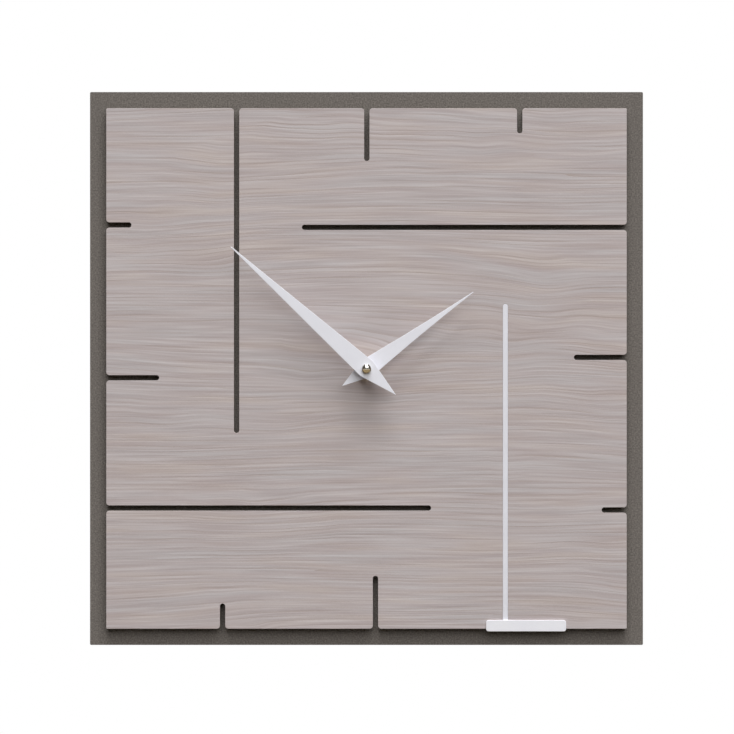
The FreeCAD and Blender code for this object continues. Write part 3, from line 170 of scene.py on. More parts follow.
# ---------------------------------------------------------------- materials

NOISE_LOW, NOISE_HIGH = 0.3, 0.7        # the range that noise mostly covers
EDGE_STARTS, EDGE_FULL = 0.52, 0.62     # the pointiness at which an edge begins to show, and shows fully


class Graph:
    """A material's nodes. Most methods add nodes and return the socket that gives the result."""

    def __init__(self, name):
        self.material = bpy.data.materials.new(name)
        self.material.use_nodes = True
        self.tree = self.material.node_tree
        self.tree.nodes.clear()
        self.place = self.add("ShaderNodeTexCoord").outputs["Object"]

    def add(self, kind, **settings):
        node = self.tree.nodes.new(kind)
        for name, setting in settings.items():
            setattr(node, name, setting)
        return node

    def feed(self, socket, value):
        """Links a socket to another's result, or sets it to a plain value."""
        if isinstance(value, bpy.types.NodeSocket):
            self.tree.links.new(value, socket)
        else:
            socket.default_value = value

    def maths(self, operation, first, second=0.0):
        node = self.add("ShaderNodeMath", operation=operation)
        self.feed(node.inputs[0], first)
        self.feed(node.inputs[1], second)
        return node.outputs[0]

    def spotted(self, kind, size, stretch=(1, 1, 1), place=None):
        """A texture node whose spots measure about size, drawn out along each axis by stretch."""
        mapping = self.add("ShaderNodeMapping")
        self.feed(mapping.inputs["Vector"], place or self.place)
        mapping.inputs["Scale"].default_value = [1 / (size * times) for times in stretch]
        node = self.add(kind)
        self.feed(node.inputs["Vector"], mapping.outputs[0])
        node.inputs["Scale"].default_value = 1.0
        return node

    def noise(self, size, stretch=(1, 1, 1), place=None, detail=2.0, distortion=0.0):
        """Soft noise from 0 to 1."""
        node = self.spotted("ShaderNodeTexNoise", size, stretch, place)
        node.inputs["Detail"].default_value = detail
        node.inputs["Distortion"].default_value = distortion
        return node.outputs["Fac"]

    def cells(self, size):
        """Distance from the middles of scattered cells."""
        return self.spotted("ShaderNodeTexVoronoi", size).outputs["Distance"]

    def between(self, value, low, high, start=0.0, end=1.0):
        """The value from low to high, stretched to run from start to end and kept within them."""
        node = self.add("ShaderNodeMapRange")
        self.feed(node.inputs["Value"], value)
        for name, number in (("From Min", low), ("From Max", high), ("To Min", start), ("To Max", end)):
            node.inputs[name].default_value = number
        return node.outputs["Result"]

    def spread(self, noise, start=0.0, end=1.0):
        """A noise, stretched so that the range it mostly covers runs from start to end."""
        return self.between(noise, NOISE_LOW, NOISE_HIGH, start, end)

    def ramp(self, value, *stops):
        """The colour at a value, from (position, colour) stops."""
        node = self.add("ShaderNodeValToRGB")
        self.feed(node.inputs["Fac"], value)
        ramp = node.color_ramp
        while len(ramp.elements) < len(stops):
            ramp.elements.new(1.0)
        for element, (position, colour) in zip(ramp.elements, stops):
            element.position = position
            element.color = (*colour, 1)
        return node.outputs["Color"]

    def mixed(self, amount, first, second, how="MIX"):
        """Two colours, blended by amount."""
        node = self.add("ShaderNodeMix", data_type="RGBA", blend_type=how)
        self.feed(node.inputs["Factor"], amount)
        for name, colour in (("A", first), ("B", second)):
            socket = [entry for entry in node.inputs if entry.name == name and entry.type == "RGBA"][0]
            self.feed(socket, colour if isinstance(colour, bpy.types.NodeSocket) else (*colour, 1))
        return [result for result in node.outputs if result.type == "RGBA"][0]

    def axes(self):
        """The X, Y and Z of the place."""
        node = self.add("ShaderNodeSeparateXYZ")
        self.feed(node.inputs[0], self.place)
        return node.outputs[0], node.outputs[1], node.outputs[2]

    def point(self, x, y, z):
        node = self.add("ShaderNodeCombineXYZ")
        for socket, value in zip(node.inputs, (x, y, z)):
            self.feed(socket, value)
        return node.outputs[0]

    def edges(self):
        """How far a point lies on a convex edge, from 0 to 1."""
        return self.between(self.add("ShaderNodeNewGeometry").outputs["Pointiness"], EDGE_STARTS, EDGE_FULL)

    def relief(self, height, depth):
        """A bumpy normal from a height of 0 to 1 that stands for depth in metres."""
        node = self.add("ShaderNodeBump")
        node.inputs["Distance"].default_value = depth
        node.inputs["Strength"].default_value = 1.0
        self.feed(node.inputs["Height"], height)
        return node.outputs["Normal"]

    def surface(self, **inputs):
        """The finished material. Names are the shader's inputs with _ for a space."""
        shader = self.add("ShaderNodeBsdfPrincipled")
        for name, value in inputs.items():
            self.feed(shader.inputs[name.replace("_", " ")], value)
        output = self.add("ShaderNodeOutputMaterial")
        self.tree.links.new(shader.outputs["BSDF"], output.inputs["Surface"])
        return self.material


def shades(colour, *factors):
    """A colour made darker or lighter by each factor."""
    return [tuple(min(1.0, part * factor) for part in colour) for factor in factors]


RING_PITCH = 2.8 * MM       # from one growth line of the veneer to the next
RINGS_WANDERED = 2.8        # how many pitches a growth line wanders
LATE_SHARE = 0.42           # of a pitch that a growth line takes up
LATE_FADE = 1.6             # the higher, the thinner a growth line looks
SWEEP_HEIGHT = 26 * MM      # of the grain's long waves
CALM_SWAY, SWIRLED_SWAY = 0.4 * MM, 8 * MM      # height of its short waves


def lifted_grain(g, z):
    """A point's height plus the waves of the grain there. One value runs along one line of the grain."""
    sweep = g.noise(58 * MM, (5, 1, 1), detail=1.0)
    sway = g.noise(17 * MM, (3.4, 1, 1), detail=1.0)
    swirled = g.between(g.noise(64 * MM, (2.0, 1, 1)), 0.50, 0.68, CALM_SWAY, SWIRLED_SWAY)
    waves = g.maths("ADD", g.maths("MULTIPLY", sweep, SWEEP_HEIGHT), g.maths("MULTIPLY", sway, swirled))
    return g.maths("ADD", z, waves)


def growth_lines(g, lifted, along):
    """How much of a growth line a point of the veneer shows, from 0 to 1."""
    wander = g.noise(7 * MM, (34, 1, 1), along, detail=2.5)
    count = g.maths("DIVIDE", lifted, RING_PITCH)
    rings = g.maths("ADD", count, g.maths("MULTIPLY", wander, RINGS_WANDERED))
    late = g.between(g.maths("FRACT", rings), 0.0, LATE_SHARE, 1.0, 0.0)
    strong = g.between(g.noise(9 * MM, (9, 1, 0.5), along, detail=1.5), 0.36, 0.62)
    return g.maths("MULTIPLY", g.maths("POWER", late, LATE_FADE), strong)


def veneer():
    """Greige wood veneer. Its growth lines run across the clock, rising and closing up in places."""
    g = Graph("veneer")
    x, y, z = g.axes()
    lifted = lifted_grain(g, z)
    along = g.point(x, y, lifted)
    lines = growth_lines(g, lifted, along)
    fibres = g.noise(0.62 * MM, (60, 1, 1), along, detail=3.0)
    streaks = g.noise(1.7 * MM, (38, 1, 1), along, detail=2.5)
    patches = g.noise(9 * MM, (9, 1, 0.8), along, detail=2.0)
    cool, middling, warm = (0.513, 0.475, 0.484), (0.526, 0.474, 0.478), (0.540, 0.477, 0.463)
    ground = g.ramp(patches, (0.34, cool), (0.52, middling), (0.70, warm))
    dark_streak, light_streak = (0.915, 0.888, 0.890), (1.065, 1.08, 1.088)
    streaked = g.mixed(g.between(streaks, 0.36, 0.64), dark_streak, light_streak)
    board = g.mixed(1.0, ground, streaked, "MULTIPLY")
    dark_fibre, light_fibre = (0.915, 0.90, 0.90), (1.075, 1.085, 1.085)
    fibred = g.mixed(g.spread(fibres), dark_fibre, light_fibre)
    board = g.mixed(1.0, board, fibred, "MULTIPLY")
    late_wood = (0.415, 0.345, 0.325)
    board = g.mixed(g.maths("MULTIPLY", lines, 0.80), board, late_wood)
    grain = g.maths("ADD", fibres, g.maths("MULTIPLY", lines, -0.6))
    return g.surface(
        Base_Color=board, Roughness=g.spread(fibres, 0.50, 0.60),
        Normal=g.relief(grain, 0.05 * MM), Specular_IOR_Level=0.32,
    )


def taupe_paint():
    """Satin taupe paint, sprayed on fibreboard, with a fine speckle and orange peel."""
    g = Graph("taupe_paint")
    base = (0.152, 0.137, 0.126)
    dark, light = shades(base, 0.64, 1.46)
    speckle = g.noise(0.95 * MM, detail=3.0)
    cloud = g.noise(40 * MM, detail=2.0)
    paint = g.ramp(speckle, (0.30, dark), (0.5, base), (0.70, light))
    paint = g.mixed(g.between(cloud, 0.35, 0.65, 0.0, 0.10), paint, shades(base, 0.8)[0])
    return g.surface(
        Base_Color=paint, Roughness=g.spread(speckle, 0.56, 0.68),
        Normal=g.relief(speckle, 0.07 * MM), Specular_IOR_Level=0.3,
    )


def core_wood():
    """The front board's core, stained dark brown where the slots cut into it."""
    g = Graph("core_wood")
    base = (0.072, 0.047, 0.015)
    fibres = g.noise(0.7 * MM, (8, 1, 1), detail=3.0)
    plies = g.noise(0.9 * MM, (30, 1, 30), detail=2.0)
    dark, light = shades(base, 0.75, 1.3)
    colour = g.mixed(g.spread(fibres), dark, light)
    colour = g.mixed(g.between(plies, 0.45, 0.6, 0.0, 0.4), colour, shades(base, 0.6)[0])
    return g.surface(
        Base_Color=colour, Roughness=g.spread(fibres, 0.6, 0.8),
        Normal=g.relief(fibres, 0.05 * MM), Specular_IOR_Level=0.25,
    )


def lacquer(name, colour, roughness):
    """Smooth pale lacquer with faint orange peel and a slight drift in its tone."""
    g = Graph(name)
    peel = g.noise(2.2 * MM, detail=2.0)
    tone = g.noise(14 * MM, detail=3.0)
    paint = g.mixed(g.between(tone, 0.35, 0.65), *shades(colour, 0.985, 1.015))
    return g.surface(
        Base_Color=paint, Roughness=g.spread(peel, roughness - 0.04, roughness + 0.05),
        Normal=g.relief(peel, 0.012 * MM), Specular_IOR_Level=0.4,
    )


def rubber(name, colour):
    """Matt rubber with a dusty bloom and a finely pitted skin."""
    g = Graph(name)
    pits = g.cells(0.35 * MM)
    bloom = g.noise(3 * MM, detail=4.0)
    dark, light = shades(colour, 0.85, 1.5)
    tone = g.mixed(g.between(bloom, 0.4, 0.7), dark, light)
    return g.surface(
        Base_Color=tone, Roughness=g.spread(bloom, 0.72, 0.9),
        Normal=g.relief(pits, 0.03 * MM), Specular_IOR_Level=0.35, Sheen_Weight=0.15,
    )


def metal(name, colour, roughness, brushing):
    """Bare or plated metal, brushed along its stretched axes and a little stained, with bright edges."""
    g = Graph(name)
    brushed = g.noise(0.16 * MM, brushing, detail=3.0)
    clouds = g.noise(5 * MM, detail=4.0, distortion=0.6)
    dull, bright = shades(colour, 0.72, 1.12)
    tone = g.mixed(g.between(clouds, 0.45, 0.75, 0.0, 0.25), colour, dull)
    tone = g.mixed(g.maths("MULTIPLY", g.edges(), 0.3), tone, bright)
    polish = g.spread(brushed, roughness * 0.8, roughness * 1.15)
    smear = g.between(clouds, 0.4, 0.8, 0.0, 0.08)
    return g.surface(
        Base_Color=tone, Metallic=1.0, Roughness=g.maths("ADD", polish, smear),
        Normal=g.relief(brushed, 0.006 * MM),
    )


def cap_metal():
    """Polished nickel silver with a painted reflection: the dome turns brown low down, as if it mirrored a
    brown surround.
    """
    g = Graph("cap_metal")
    _, _, z = g.axes()
    # Painted reflection: towards the bottom of the dome the silver fades to brown, standing in for a brown
    # surround mirrored there.
    tint_mask = g.between(z, 0.3 * MM, -0.8 * MM)
    polish = g.noise(0.2 * MM, detail=2.0)
    silver, brown = (0.68, 0.67, 0.63), (0.22, 0.165, 0.09)
    colour = g.mixed(tint_mask, silver, brown)
    return g.surface(
        Base_Color=colour, Metallic=1.0, Roughness=g.spread(polish, 0.16, 0.21),
        Normal=g.relief(polish, 0.003 * MM),
    )


def zinc(name, roughness):
    """Zinc-plated steel, blue-white with the faint mottle of its crystals."""
    g = Graph(name)
    crystals = g.cells(1.6 * MM)
    tint_mask = g.noise(4 * MM, detail=4.0, distortion=0.8)
    pale, deep = (0.60, 0.61, 0.62), (0.50, 0.515, 0.53)
    yellowed, worn = (0.58, 0.55, 0.47), (0.78, 0.78, 0.78)
    colour = g.mixed(g.between(crystals, 0.1, 0.7), pale, deep)
    colour = g.mixed(g.between(tint_mask, 0.5, 0.72, 0.0, 0.45), colour, yellowed)
    colour = g.mixed(g.maths("MULTIPLY", g.edges(), 0.4), colour, worn)
    scratches = g.noise(0.3 * MM, (16, 1, 1), detail=2.0)
    return g.surface(
        Base_Color=colour, Metallic=1.0, Normal=g.relief(scratches, 0.008 * MM),
        Roughness=g.between(crystals, 0.1, 0.8, roughness, roughness + 0.14),
    )


def moulded(name, colour, roughness, texture, relief):
    """Injection-moulded plastic with a spark-eroded grain and paler edges."""
    g = Graph(name)
    grain = g.noise(texture, detail=3.0)
    flow = g.noise(18 * MM, (1, 1, 2.5), detail=2.0, distortion=0.5)
    dark, light = shades(colour, 0.88, 1.12)
    tone = g.mixed(g.between(flow, 0.35, 0.65), dark, light)
    tone = g.mixed(g.maths("MULTIPLY", g.edges(), 0.35), tone, shades(colour, 1.9)[0])
    return g.surface(
        Base_Color=tone, Roughness=g.spread(grain, roughness - 0.06, roughness + 0.08),
        Normal=g.relief(grain, relief), Specular_IOR_Level=0.45,
    )


def translucent(name, colour):
    """Natural acetal or nylon, pale and slightly waxy."""
    g = Graph(name)
    flow = g.noise(3 * MM, detail=3.0, distortion=0.7)
    grain = g.noise(0.25 * MM, detail=2.0)
    tone = g.mixed(g.between(flow, 0.35, 0.65), *shades(colour, 0.93, 1.05))
    return g.surface(
        Base_Color=tone, Roughness=g.spread(grain, 0.30, 0.42), Normal=g.relief(grain, 0.006 * MM),
        Subsurface_Weight=0.25, Subsurface_Radius=(1.0, 0.9, 0.8), Subsurface_Scale=0.5 * MM,
    )


def stator_iron():
    """Stacked sheets of bright annealed iron, with fine lines where the sheets meet."""
    g = Graph("stator_iron")
    sheets = g.noise(0.12 * MM, (200, 1, 200), detail=1.0)
    scale = g.noise(2.5 * MM, detail=4.0)
    seam, sheet, oxide = (0.36, 0.37, 0.39), (0.50, 0.50, 0.51), (0.30, 0.29, 0.33)
    tone = g.mixed(g.between(sheets, 0.4, 0.6), seam, sheet)
    tone = g.mixed(g.between(scale, 0.5, 0.7, 0.0, 0.5), tone, oxide)
    return g.surface(
        Base_Color=tone, Metallic=1.0, Roughness=g.spread(scale, 0.34, 0.5),
        Normal=g.relief(sheets, 0.01 * MM),
    )


def enamelled_wire():
    """Copper wire under a clear reddish enamel."""
    g = Graph("copper_wire")
    tone = g.noise(0.8 * MM, (1, 1, 0.3), detail=3.0)
    deep, bright = (0.62, 0.20, 0.08), (0.80, 0.31, 0.13)
    colour = g.mixed(g.between(tone, 0.35, 0.65), deep, bright)
    return g.surface(
        Base_Color=colour, Metallic=0.9, Roughness=g.spread(tone, 0.20, 0.30), Coat_Weight=0.8,
        Coat_Roughness=0.08,
    )


def circuit_laminate():
    """Brown phenolic board, its solder mask green with the paper's weave showing."""
    g = Graph("circuit_laminate")
    weave = g.noise(0.35 * MM, (3, 1, 1), detail=2.0)
    cross = g.noise(0.35 * MM, (1, 1, 3), detail=2.0)
    cloth = g.maths("MULTIPLY", weave, cross)
    deep, bright = (0.012, 0.085, 0.035), (0.025, 0.15, 0.06)
    colour = g.mixed(g.between(cloth, 0.15, 0.4), deep, bright)
    return g.surface(
        Base_Color=colour, Roughness=g.between(cloth, 0.1, 0.4, 0.30, 0.42),
        Normal=g.relief(cloth, 0.01 * MM), Coat_Weight=0.4, Coat_Roughness=0.15,
    )


def magnet_ferrite():
    """Plastic-bonded ferrite, charcoal with glints of its grains."""
    g = Graph("magnet")
    grains = g.cells(0.18 * MM)
    cloud = g.noise(1.5 * MM, detail=3.0)
    glint, binder = (0.085, 0.085, 0.09), (0.030, 0.030, 0.034)
    colour = g.mixed(g.between(grains, 0.1, 0.6), glint, binder)
    return g.surface(
        Base_Color=colour, Roughness=g.spread(cloud, 0.42, 0.6), Normal=g.relief(grains, 0.02 * MM),
        Specular_IOR_Level=0.6,
    )


def battery_sleeve():
    """Shrunk-on film: pale grey-green with a darker green band and a thin pinstripe at each end."""
    g = Graph("sleeve_plastic")
    low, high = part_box("battery_sleeve")
    x, _, _ = g.axes()
    share = g.between(x, low.x, high.x)
    wrinkle = g.noise(2.5 * MM, (0.4, 1, 1), detail=2.0)
    ground, pinstripe, band = (0.36, 0.42, 0.38), (0.05, 0.11, 0.08), (0.035, 0.125, 0.075)
    body = g.ramp(
        share, (0.0, ground), (0.04, pinstripe), (0.055, ground), (0.40, band), (0.62, ground),
        (0.96, pinstripe), (0.975, ground),
    )
    body.node.color_ramp.interpolation = "CONSTANT"
    scuff = (0.5, 0.5, 0.5)
    rubbed = g.mixed(g.between(wrinkle, 0.5, 0.75, 0.0, 0.12), body, scuff)
    return g.surface(
        Base_Color=rubbed, Metallic=0.35, Roughness=g.spread(wrinkle, 0.24, 0.36),
        Normal=g.relief(wrinkle, 0.015 * MM), Coat_Weight=0.7, Coat_Roughness=0.12,
    )


def studio_floor():
    """Seamless pale studio paper."""
    g = Graph("studio_floor")
    tooth = g.noise(60 * MM, detail=4.0)
    colour = g.mixed(g.spread(tooth), (0.80, 0.80, 0.80), (0.83, 0.83, 0.83))
    return g.surface(Base_Color=colour, Roughness=g.spread(tooth, 0.85, 0.95))


WHITE = (0.845, 0.855, 0.935)

FINISHES = {
    "taupe_paint": taupe_paint(),
    "core_wood": core_wood(),
    "veneer": veneer(),
    "white_strip": lacquer("white_strip", shades(WHITE, 0.96)[0], 0.42),
    "white_plate": lacquer("white_plate", shades(WHITE, 1.08)[0], 0.36),
    "hand_paint": lacquer("hand_paint", WHITE, 0.38),
    "bumper_rubber": rubber("bumper_rubber", (0.026, 0.026, 0.027)),
    "washer_rubber": rubber("washer_rubber", (0.018, 0.018, 0.019)),
    "hanger_steel": zinc("hanger_steel", 0.30),
    "screw_steel": zinc("screw_steel", 0.26),
    "brass": metal("brass", (0.86, 0.68, 0.36), 0.42, (1, 6, 1)),
    "gear_brass": metal("gear_brass", (0.80, 0.61, 0.30), 0.30, (5, 1, 5)),
    "cap_metal": cap_metal(),
    "case_plastic": moulded("case_plastic", (0.020, 0.020, 0.021), 0.46, 0.5 * MM, 0.035 * MM),
    "plate_plastic": moulded("plate_plastic", (0.33, 0.33, 0.33), 0.42, 0.4 * MM, 0.012 * MM),
    "bobbin_plastic": moulded("bobbin_plastic", (0.55, 0.50, 0.40), 0.40, 0.3 * MM, 0.008 * MM),
    "chip_plastic": moulded("chip_plastic", (0.025, 0.025, 0.027), 0.55, 0.12 * MM, 0.01 * MM),
    "knob_plastic": moulded("knob_plastic", (0.78, 0.78, 0.76), 0.36, 0.5 * MM, 0.012 * MM),
    "gear_plastic": translucent("gear_plastic", (0.82, 0.81, 0.76)),
    "stator_iron": stator_iron(),
    "copper_wire": enamelled_wire(),
    "circuit_laminate": circuit_laminate(),
    "crystal_can": metal("crystal_can", (0.72, 0.72, 0.71), 0.22, (6, 1, 1)),
    "contact_metal": metal("contact_metal", (0.68, 0.66, 0.62), 0.25, (1, 1, 8)),
    "cell_steel": metal("cell_steel", (0.66, 0.66, 0.67), 0.22, (1, 6, 6)),
    "sleeve_plastic": battery_sleeve(),
    "magnet": magnet_ferrite(),
}


# ---------------------------------------------------------------- meshes

SHARP_ANGLE = math.radians(30)
DOUBLED_POINTS = 0.0005 * MM    # points of a modelled mesh closer than this are joined
DOUBLED_CORNERS = 0.001 * MM    # the same for the corners of a CAD node's facets


def ring(radius, y, count):
    """Points around the Y axis. The radius and the Y are numbers, or functions of the angle."""
    reach = radius if callable(radius) else lambda angle: radius
    level = y if callable(y) else lambda angle: y
    points = []
    for step in range(count):
        angle = TURN * step / count
        points.append((reach(angle) * math.cos(angle), level(angle), reach(angle) * math.sin(angle)))
    return points


def skin(name, rings, closed=False):
    """A mesh through rings of equally many points: joined end to end, or with a cap at each end."""
    count = len(rings[0])
    faces = []
    for level in range(len(rings) if closed else len(rings) - 1):
        lower = level * count
        upper = (level + 1) % len(rings) * count
        for corner in range(count):
            after = (corner + 1) % count
            faces.append((lower + corner, lower + after, upper + after, upper + corner))
    if not closed:
        faces.append(tuple(reversed(range(count))))
        faces.append(tuple(range((len(rings) - 1) * count, len(rings) * count)))
    points = [point for ring_points in rings for point in ring_points]
    mesh = bpy.data.meshes.new(name)
    mesh.from_pydata(points, [], faces)
    return settled(mesh)


def settled(mesh):
    """Joins a mesh's doubled points, turns its faces outward and smooths all but its sharp edges."""
    work = bmesh.new()
    work.from_mesh(mesh)
    bmesh.ops.remove_doubles(work, verts=work.verts, dist=DOUBLED_POINTS)
    bmesh.ops.recalc_face_normals(work, faces=work.faces)
    work.to_mesh(mesh)
    work.free()
    mesh.shade_smooth()
    mesh.set_sharp_from_angle(angle=SHARP_ANGLE)
    return mesh


def joined(name, meshes):
    """One mesh of several separate solids."""
    work = bmesh.new()
    for mesh in meshes:
        work.from_mesh(mesh)
        bpy.data.meshes.remove(mesh)
    whole = bpy.data.meshes.new(name)
    work.to_mesh(whole)
    work.free()
    return settled(whole)


def plate(outline, rear, front, ease):
    """A flat piece from an outline of (x, z) points, between two Y values, its rear edge eased."""
    middle_x = sum(x for x, _ in outline) / len(outline)
    middle_z = sum(z for _, z in outline) / len(outline)
    reach = max(math.hypot(x - middle_x, z - middle_z) for x, z in outline)
    keep = 1 - ease / reach
    inner = [
        (middle_x + (x - middle_x) * keep, rear, middle_z + (z - middle_z) * keep) for x, z in outline
    ]
    full = [[(x, y, z) for x, z in outline] for y in (rear - ease, front)]
    return skin("plate", [inner, *full])


def tube_along(points, radius, sides):
    """A round wire along a line of points, its ends closed."""
    path = [Vector(point) for point in points]
    across = (path[1] - path[0]).orthogonal().normalized()
    rings = []
    for number, point in enumerate(path):
        ahead = (path[min(number + 1, len(path) - 1)] - path[max(number - 1, 0)]).normalized()
        across = (across - ahead * across.dot(ahead)).normalized()
        up = ahead.cross(across)
        turns = [TURN * side / sides for side in range(sides)]
        rings.append([point + (across * math.cos(turn) + up * math.sin(turn)) * radius for turn in turns])
    return skin("wire", rings)


THREAD_STEPS = 6    # rings in one pitch of a thread


def thread(crest, root, pitch, start, end, count):
    """Rings along Y that wind a thread between its root and its crest, fading out at both ends."""
    steps = round(abs(end - start) / pitch * THREAD_STEPS)
    rings = []
    for step in range(steps + 1):
        y = start + (end - start) * step / steps
        height = (crest - root) * min(1.0, abs(y - start) / pitch, abs(y - end) / pitch)

        def reach(angle, y=y, height=height):
            return root + height * abs(2 * ((y / pitch - angle / TURN) % 1.0) - 1)
        rings.append(ring(reach, y, count))
    return rings


def solid_boxes(name):
    """The lowest and highest corners of each separate solid in a CAD node, in a fixed order."""
    work = bmesh.new()
    work.from_mesh(nodes[name].data)
    bmesh.ops.remove_doubles(work, verts=work.verts, dist=DOUBLED_CORNERS)
    unseen = set(work.verts)
    boxes = []
    while unseen:
        found = [unseen.pop()]
        for vertex in found:
            neighbours = [edge.other_vert(vertex) for edge in vertex.link_edges]
            fresh = [neighbour for neighbour in neighbours if neighbour in unseen]
            unseen.difference_update(fresh)
            found += fresh
        along_axes = [[vertex.co[axis] for vertex in found] for axis in range(3)]
        boxes.append((Vector(map(min, along_axes)), Vector(map(max, along_axes))))
    work.free()
    return sorted(boxes, key=lambda box: (round(box[0].x / MM), round(box[0].z / MM)))


def show(name, mesh, body, slot, place=(0, 0, 0), twist=0.0, replaced=()):
    """Puts a piece in the scene on its body, finished as its slot, in place of the CAD nodes named."""
    if not mesh.materials:
        mesh.materials.append(FINISHES[slot])
    piece = bpy.data.objects.new(name, mesh)
    piece.location = place
    piece.rotation_euler.y = twist
    bpy.context.scene.collection.objects.link(piece)
    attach(piece, body)
    if replaced:
        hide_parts(*replaced)


# ---------------------------------------------------------------- screws, nut and bush

SCREW_SIDES = 48
SCREW_TWIST = 0.7           # how much further each screw is turned than the one before, in radians
CROSS_HALF_WIDTH = 0.13     # of a cross recess, as a share of the head's radius
CROSS_REACH = 0.60          # length of its wings, as a share of the head's radius
CROSS_DEPTH = 0.60          # as a share of the head's height
CROSS_FLOOR = ((0.35, 0.8), (0.72, 1.0))    # rings of its floor, as shares of its outline and its level
CROWN_CURVE = 0.58          # how far the crown falls to the head's edge, as a share of the head's height
CROWN_STEPS = (0.0, 0.25, 0.5, 0.7, 0.85, 0.95, 1.0)    # from the recess out to the head's edge

PANEL_HEAD_HEIGHT = 2.2 * MM
PANEL_SHANK_SHARE = 0.5     # of the head's radius
HANGER_HEAD_HEIGHT = 1.6 * MM
HANGER_SHANK_SHARE = 0.53

NUT_SIDES = 72
NUT_CHAMFER = 0.3 * MM
NUT_EDGE_DROP = 0.06 * MM   # of the middle of each flat below the nut's face
NUT_CORNER_SLOPE = math.tan(TURN / 12)
NUT_FACE_SHARE = 0.98       # of the distance from the axis to a flat

BUSH_SIDES = 64
BUSH_RADIUS = 4.0 * MM
BUSH_BORE = 2.55 * MM
BUSH_FLANGE = 1.0 * MM      # thickness
BUSH_THREAD_DEPTH = 0.4 * MM
BUSH_THREAD_PITCH = 0.75 * MM
BUSH_PLAIN_END = 0.3 * MM   # left at either end of the thread


def pan_screw(name, head_radius, head_height, shank_radius, length):
    """A pan-head wood screw. Its seat is at Y 0, its head stands towards +Y and its shank towards -Y."""
    half_width = CROSS_HALF_WIDTH * head_radius
    wing = CROSS_REACH * head_radius
    quarter = TURN / 4

    def cross(angle):
        side = math.sin(abs((angle + quarter / 2) % quarter - quarter / 2))
        return wing if side * wing < half_width else half_width / side

    def crown(radius):
        share = min(1.0, radius / head_radius)
        return head_height * (1 - CROWN_CURVE + CROWN_CURVE * math.sqrt(1 - share ** 4))

    bottom = head_height * (1 - CROSS_DEPTH)
    rings = [
        ring(lambda angle, share=share: share * cross(angle), up * bottom, SCREW_SIDES)
        for share, up in CROSS_FLOOR
    ]
    for outward in CROWN_STEPS:
        def reach(angle, outward=outward):
            return cross(angle) + (head_radius - cross(angle)) * outward
        rings.append(ring(reach, lambda angle, reach=reach: crown(reach(angle)), SCREW_SIDES))
    seat_radius = 0.96 * head_radius
    head_edge = 0.06 * head_height
    shank_end = -0.15 * length
    below_head = ((head_radius, head_edge), (seat_radius, 0), (shank_radius, 0), (shank_radius, shank_end))
    rings += [ring(radius, y, SCREW_SIDES) for radius, y in below_head]
    core = 0.68 * shank_radius
    pitch = 0.8 * shank_radius
    start = -0.17 * length
    end = 2.2 * shank_radius - length
    rings += thread(shank_radius, core, pitch, start, end, SCREW_SIDES)
    tip_radius = 0.08 * shank_radius
    rings.append(ring(tip_radius, -length, SCREW_SIDES))
    return skin(name, rings)


def show_screws(name, head_height, shank_share):
    """A modelled screw for every solid of a CAD node of screws, each turned a little further."""
    boxes = solid_boxes(name)
    low, high = boxes[0]
    head_radius = (high.x - low.x) / 2
    length = high.y - low.y - head_height
    mesh = pan_screw(name, head_radius, head_height, head_radius * shank_share, length)
    for number, (low, high) in enumerate(boxes, 1):
        middle = (low + high) / 2
        seat = (middle.x, high.y - head_height, middle.z)
        twist = number * SCREW_TWIST
        show(f"{name[:-1]}_{number}", mesh, "clock_body", "screw_steel", seat, twist, (name,))


def show_nut():
    """The hexagonal nut, chamfered at its corners and at both ends of its hole."""
    low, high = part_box("hex_nut")
    apothem = high.z
    sixth = TURN / 6

    def hexagon(angle):
        return apothem / math.cos(angle % sixth - sixth / 2)

    rings = []
    for y, inward in ((high.y, -1), (low.y, 1)):
        def shoulder(angle, y=y, inward=inward):
            return y + inward * (NUT_EDGE_DROP + (hexagon(angle) - apothem) * NUT_CORNER_SLOPE)
        half = [
            ring(BUSH_RADIUS, y + inward * NUT_CHAMFER, NUT_SIDES),
            ring(BUSH_RADIUS + NUT_CHAMFER, y, NUT_SIDES),
            ring(NUT_FACE_SHARE * apothem, y, NUT_SIDES),
            ring(hexagon, shoulder, NUT_SIDES),
        ]
        rings += half if inward < 0 else reversed(half)
    mesh = skin("clamp_nut", rings, closed=True)
    show("clamp_nut", mesh, "clock_body", "brass", replaced=("hex_nut",))


def show_bush():
    """The movement's bush: a flange inside the case, then a fine thread to its front end."""
    low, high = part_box("threaded_bush")
    neck = high.y - BUSH_FLANGE
    root = BUSH_RADIUS - BUSH_THREAD_DEPTH
    flange = ((BUSH_BORE, high.y), (high.x, high.y), (high.x, neck), (BUSH_RADIUS, neck))
    rings = [ring(radius, y, BUSH_SIDES) for radius, y in flange]
    start = neck - BUSH_PLAIN_END
    end = low.y + BUSH_PLAIN_END
    rings += thread(BUSH_RADIUS, root, BUSH_THREAD_PITCH, start, end, BUSH_SIDES)
    rings += [ring(root, low.y, BUSH_SIDES), ring(BUSH_BORE, low.y, BUSH_SIDES)]
    show("bush", skin("bush", rings, closed=True), "clock_body", "brass", replaced=("threaded_bush",))


# ---------------------------------------------------------------- bumpers, coil and mouldings

BUMPER_SIDES = 48
# Shares of a bumper's radius and height, from the dimple in its face out to its rim and its foot.
BUMPER_PROFILE = (
    (0.001, 0.93), (0.30, 0.94), (0.42, 0.97), (0.55, 1.0), (0.68, 0.99), (0.80, 0.94), (0.88, 0.86),
    (0.92, 0.74), (0.95, 0.50), (0.98, 0.12), (1.0, 0.04), (1.0, 0.0), (0.001, 0.0),
)


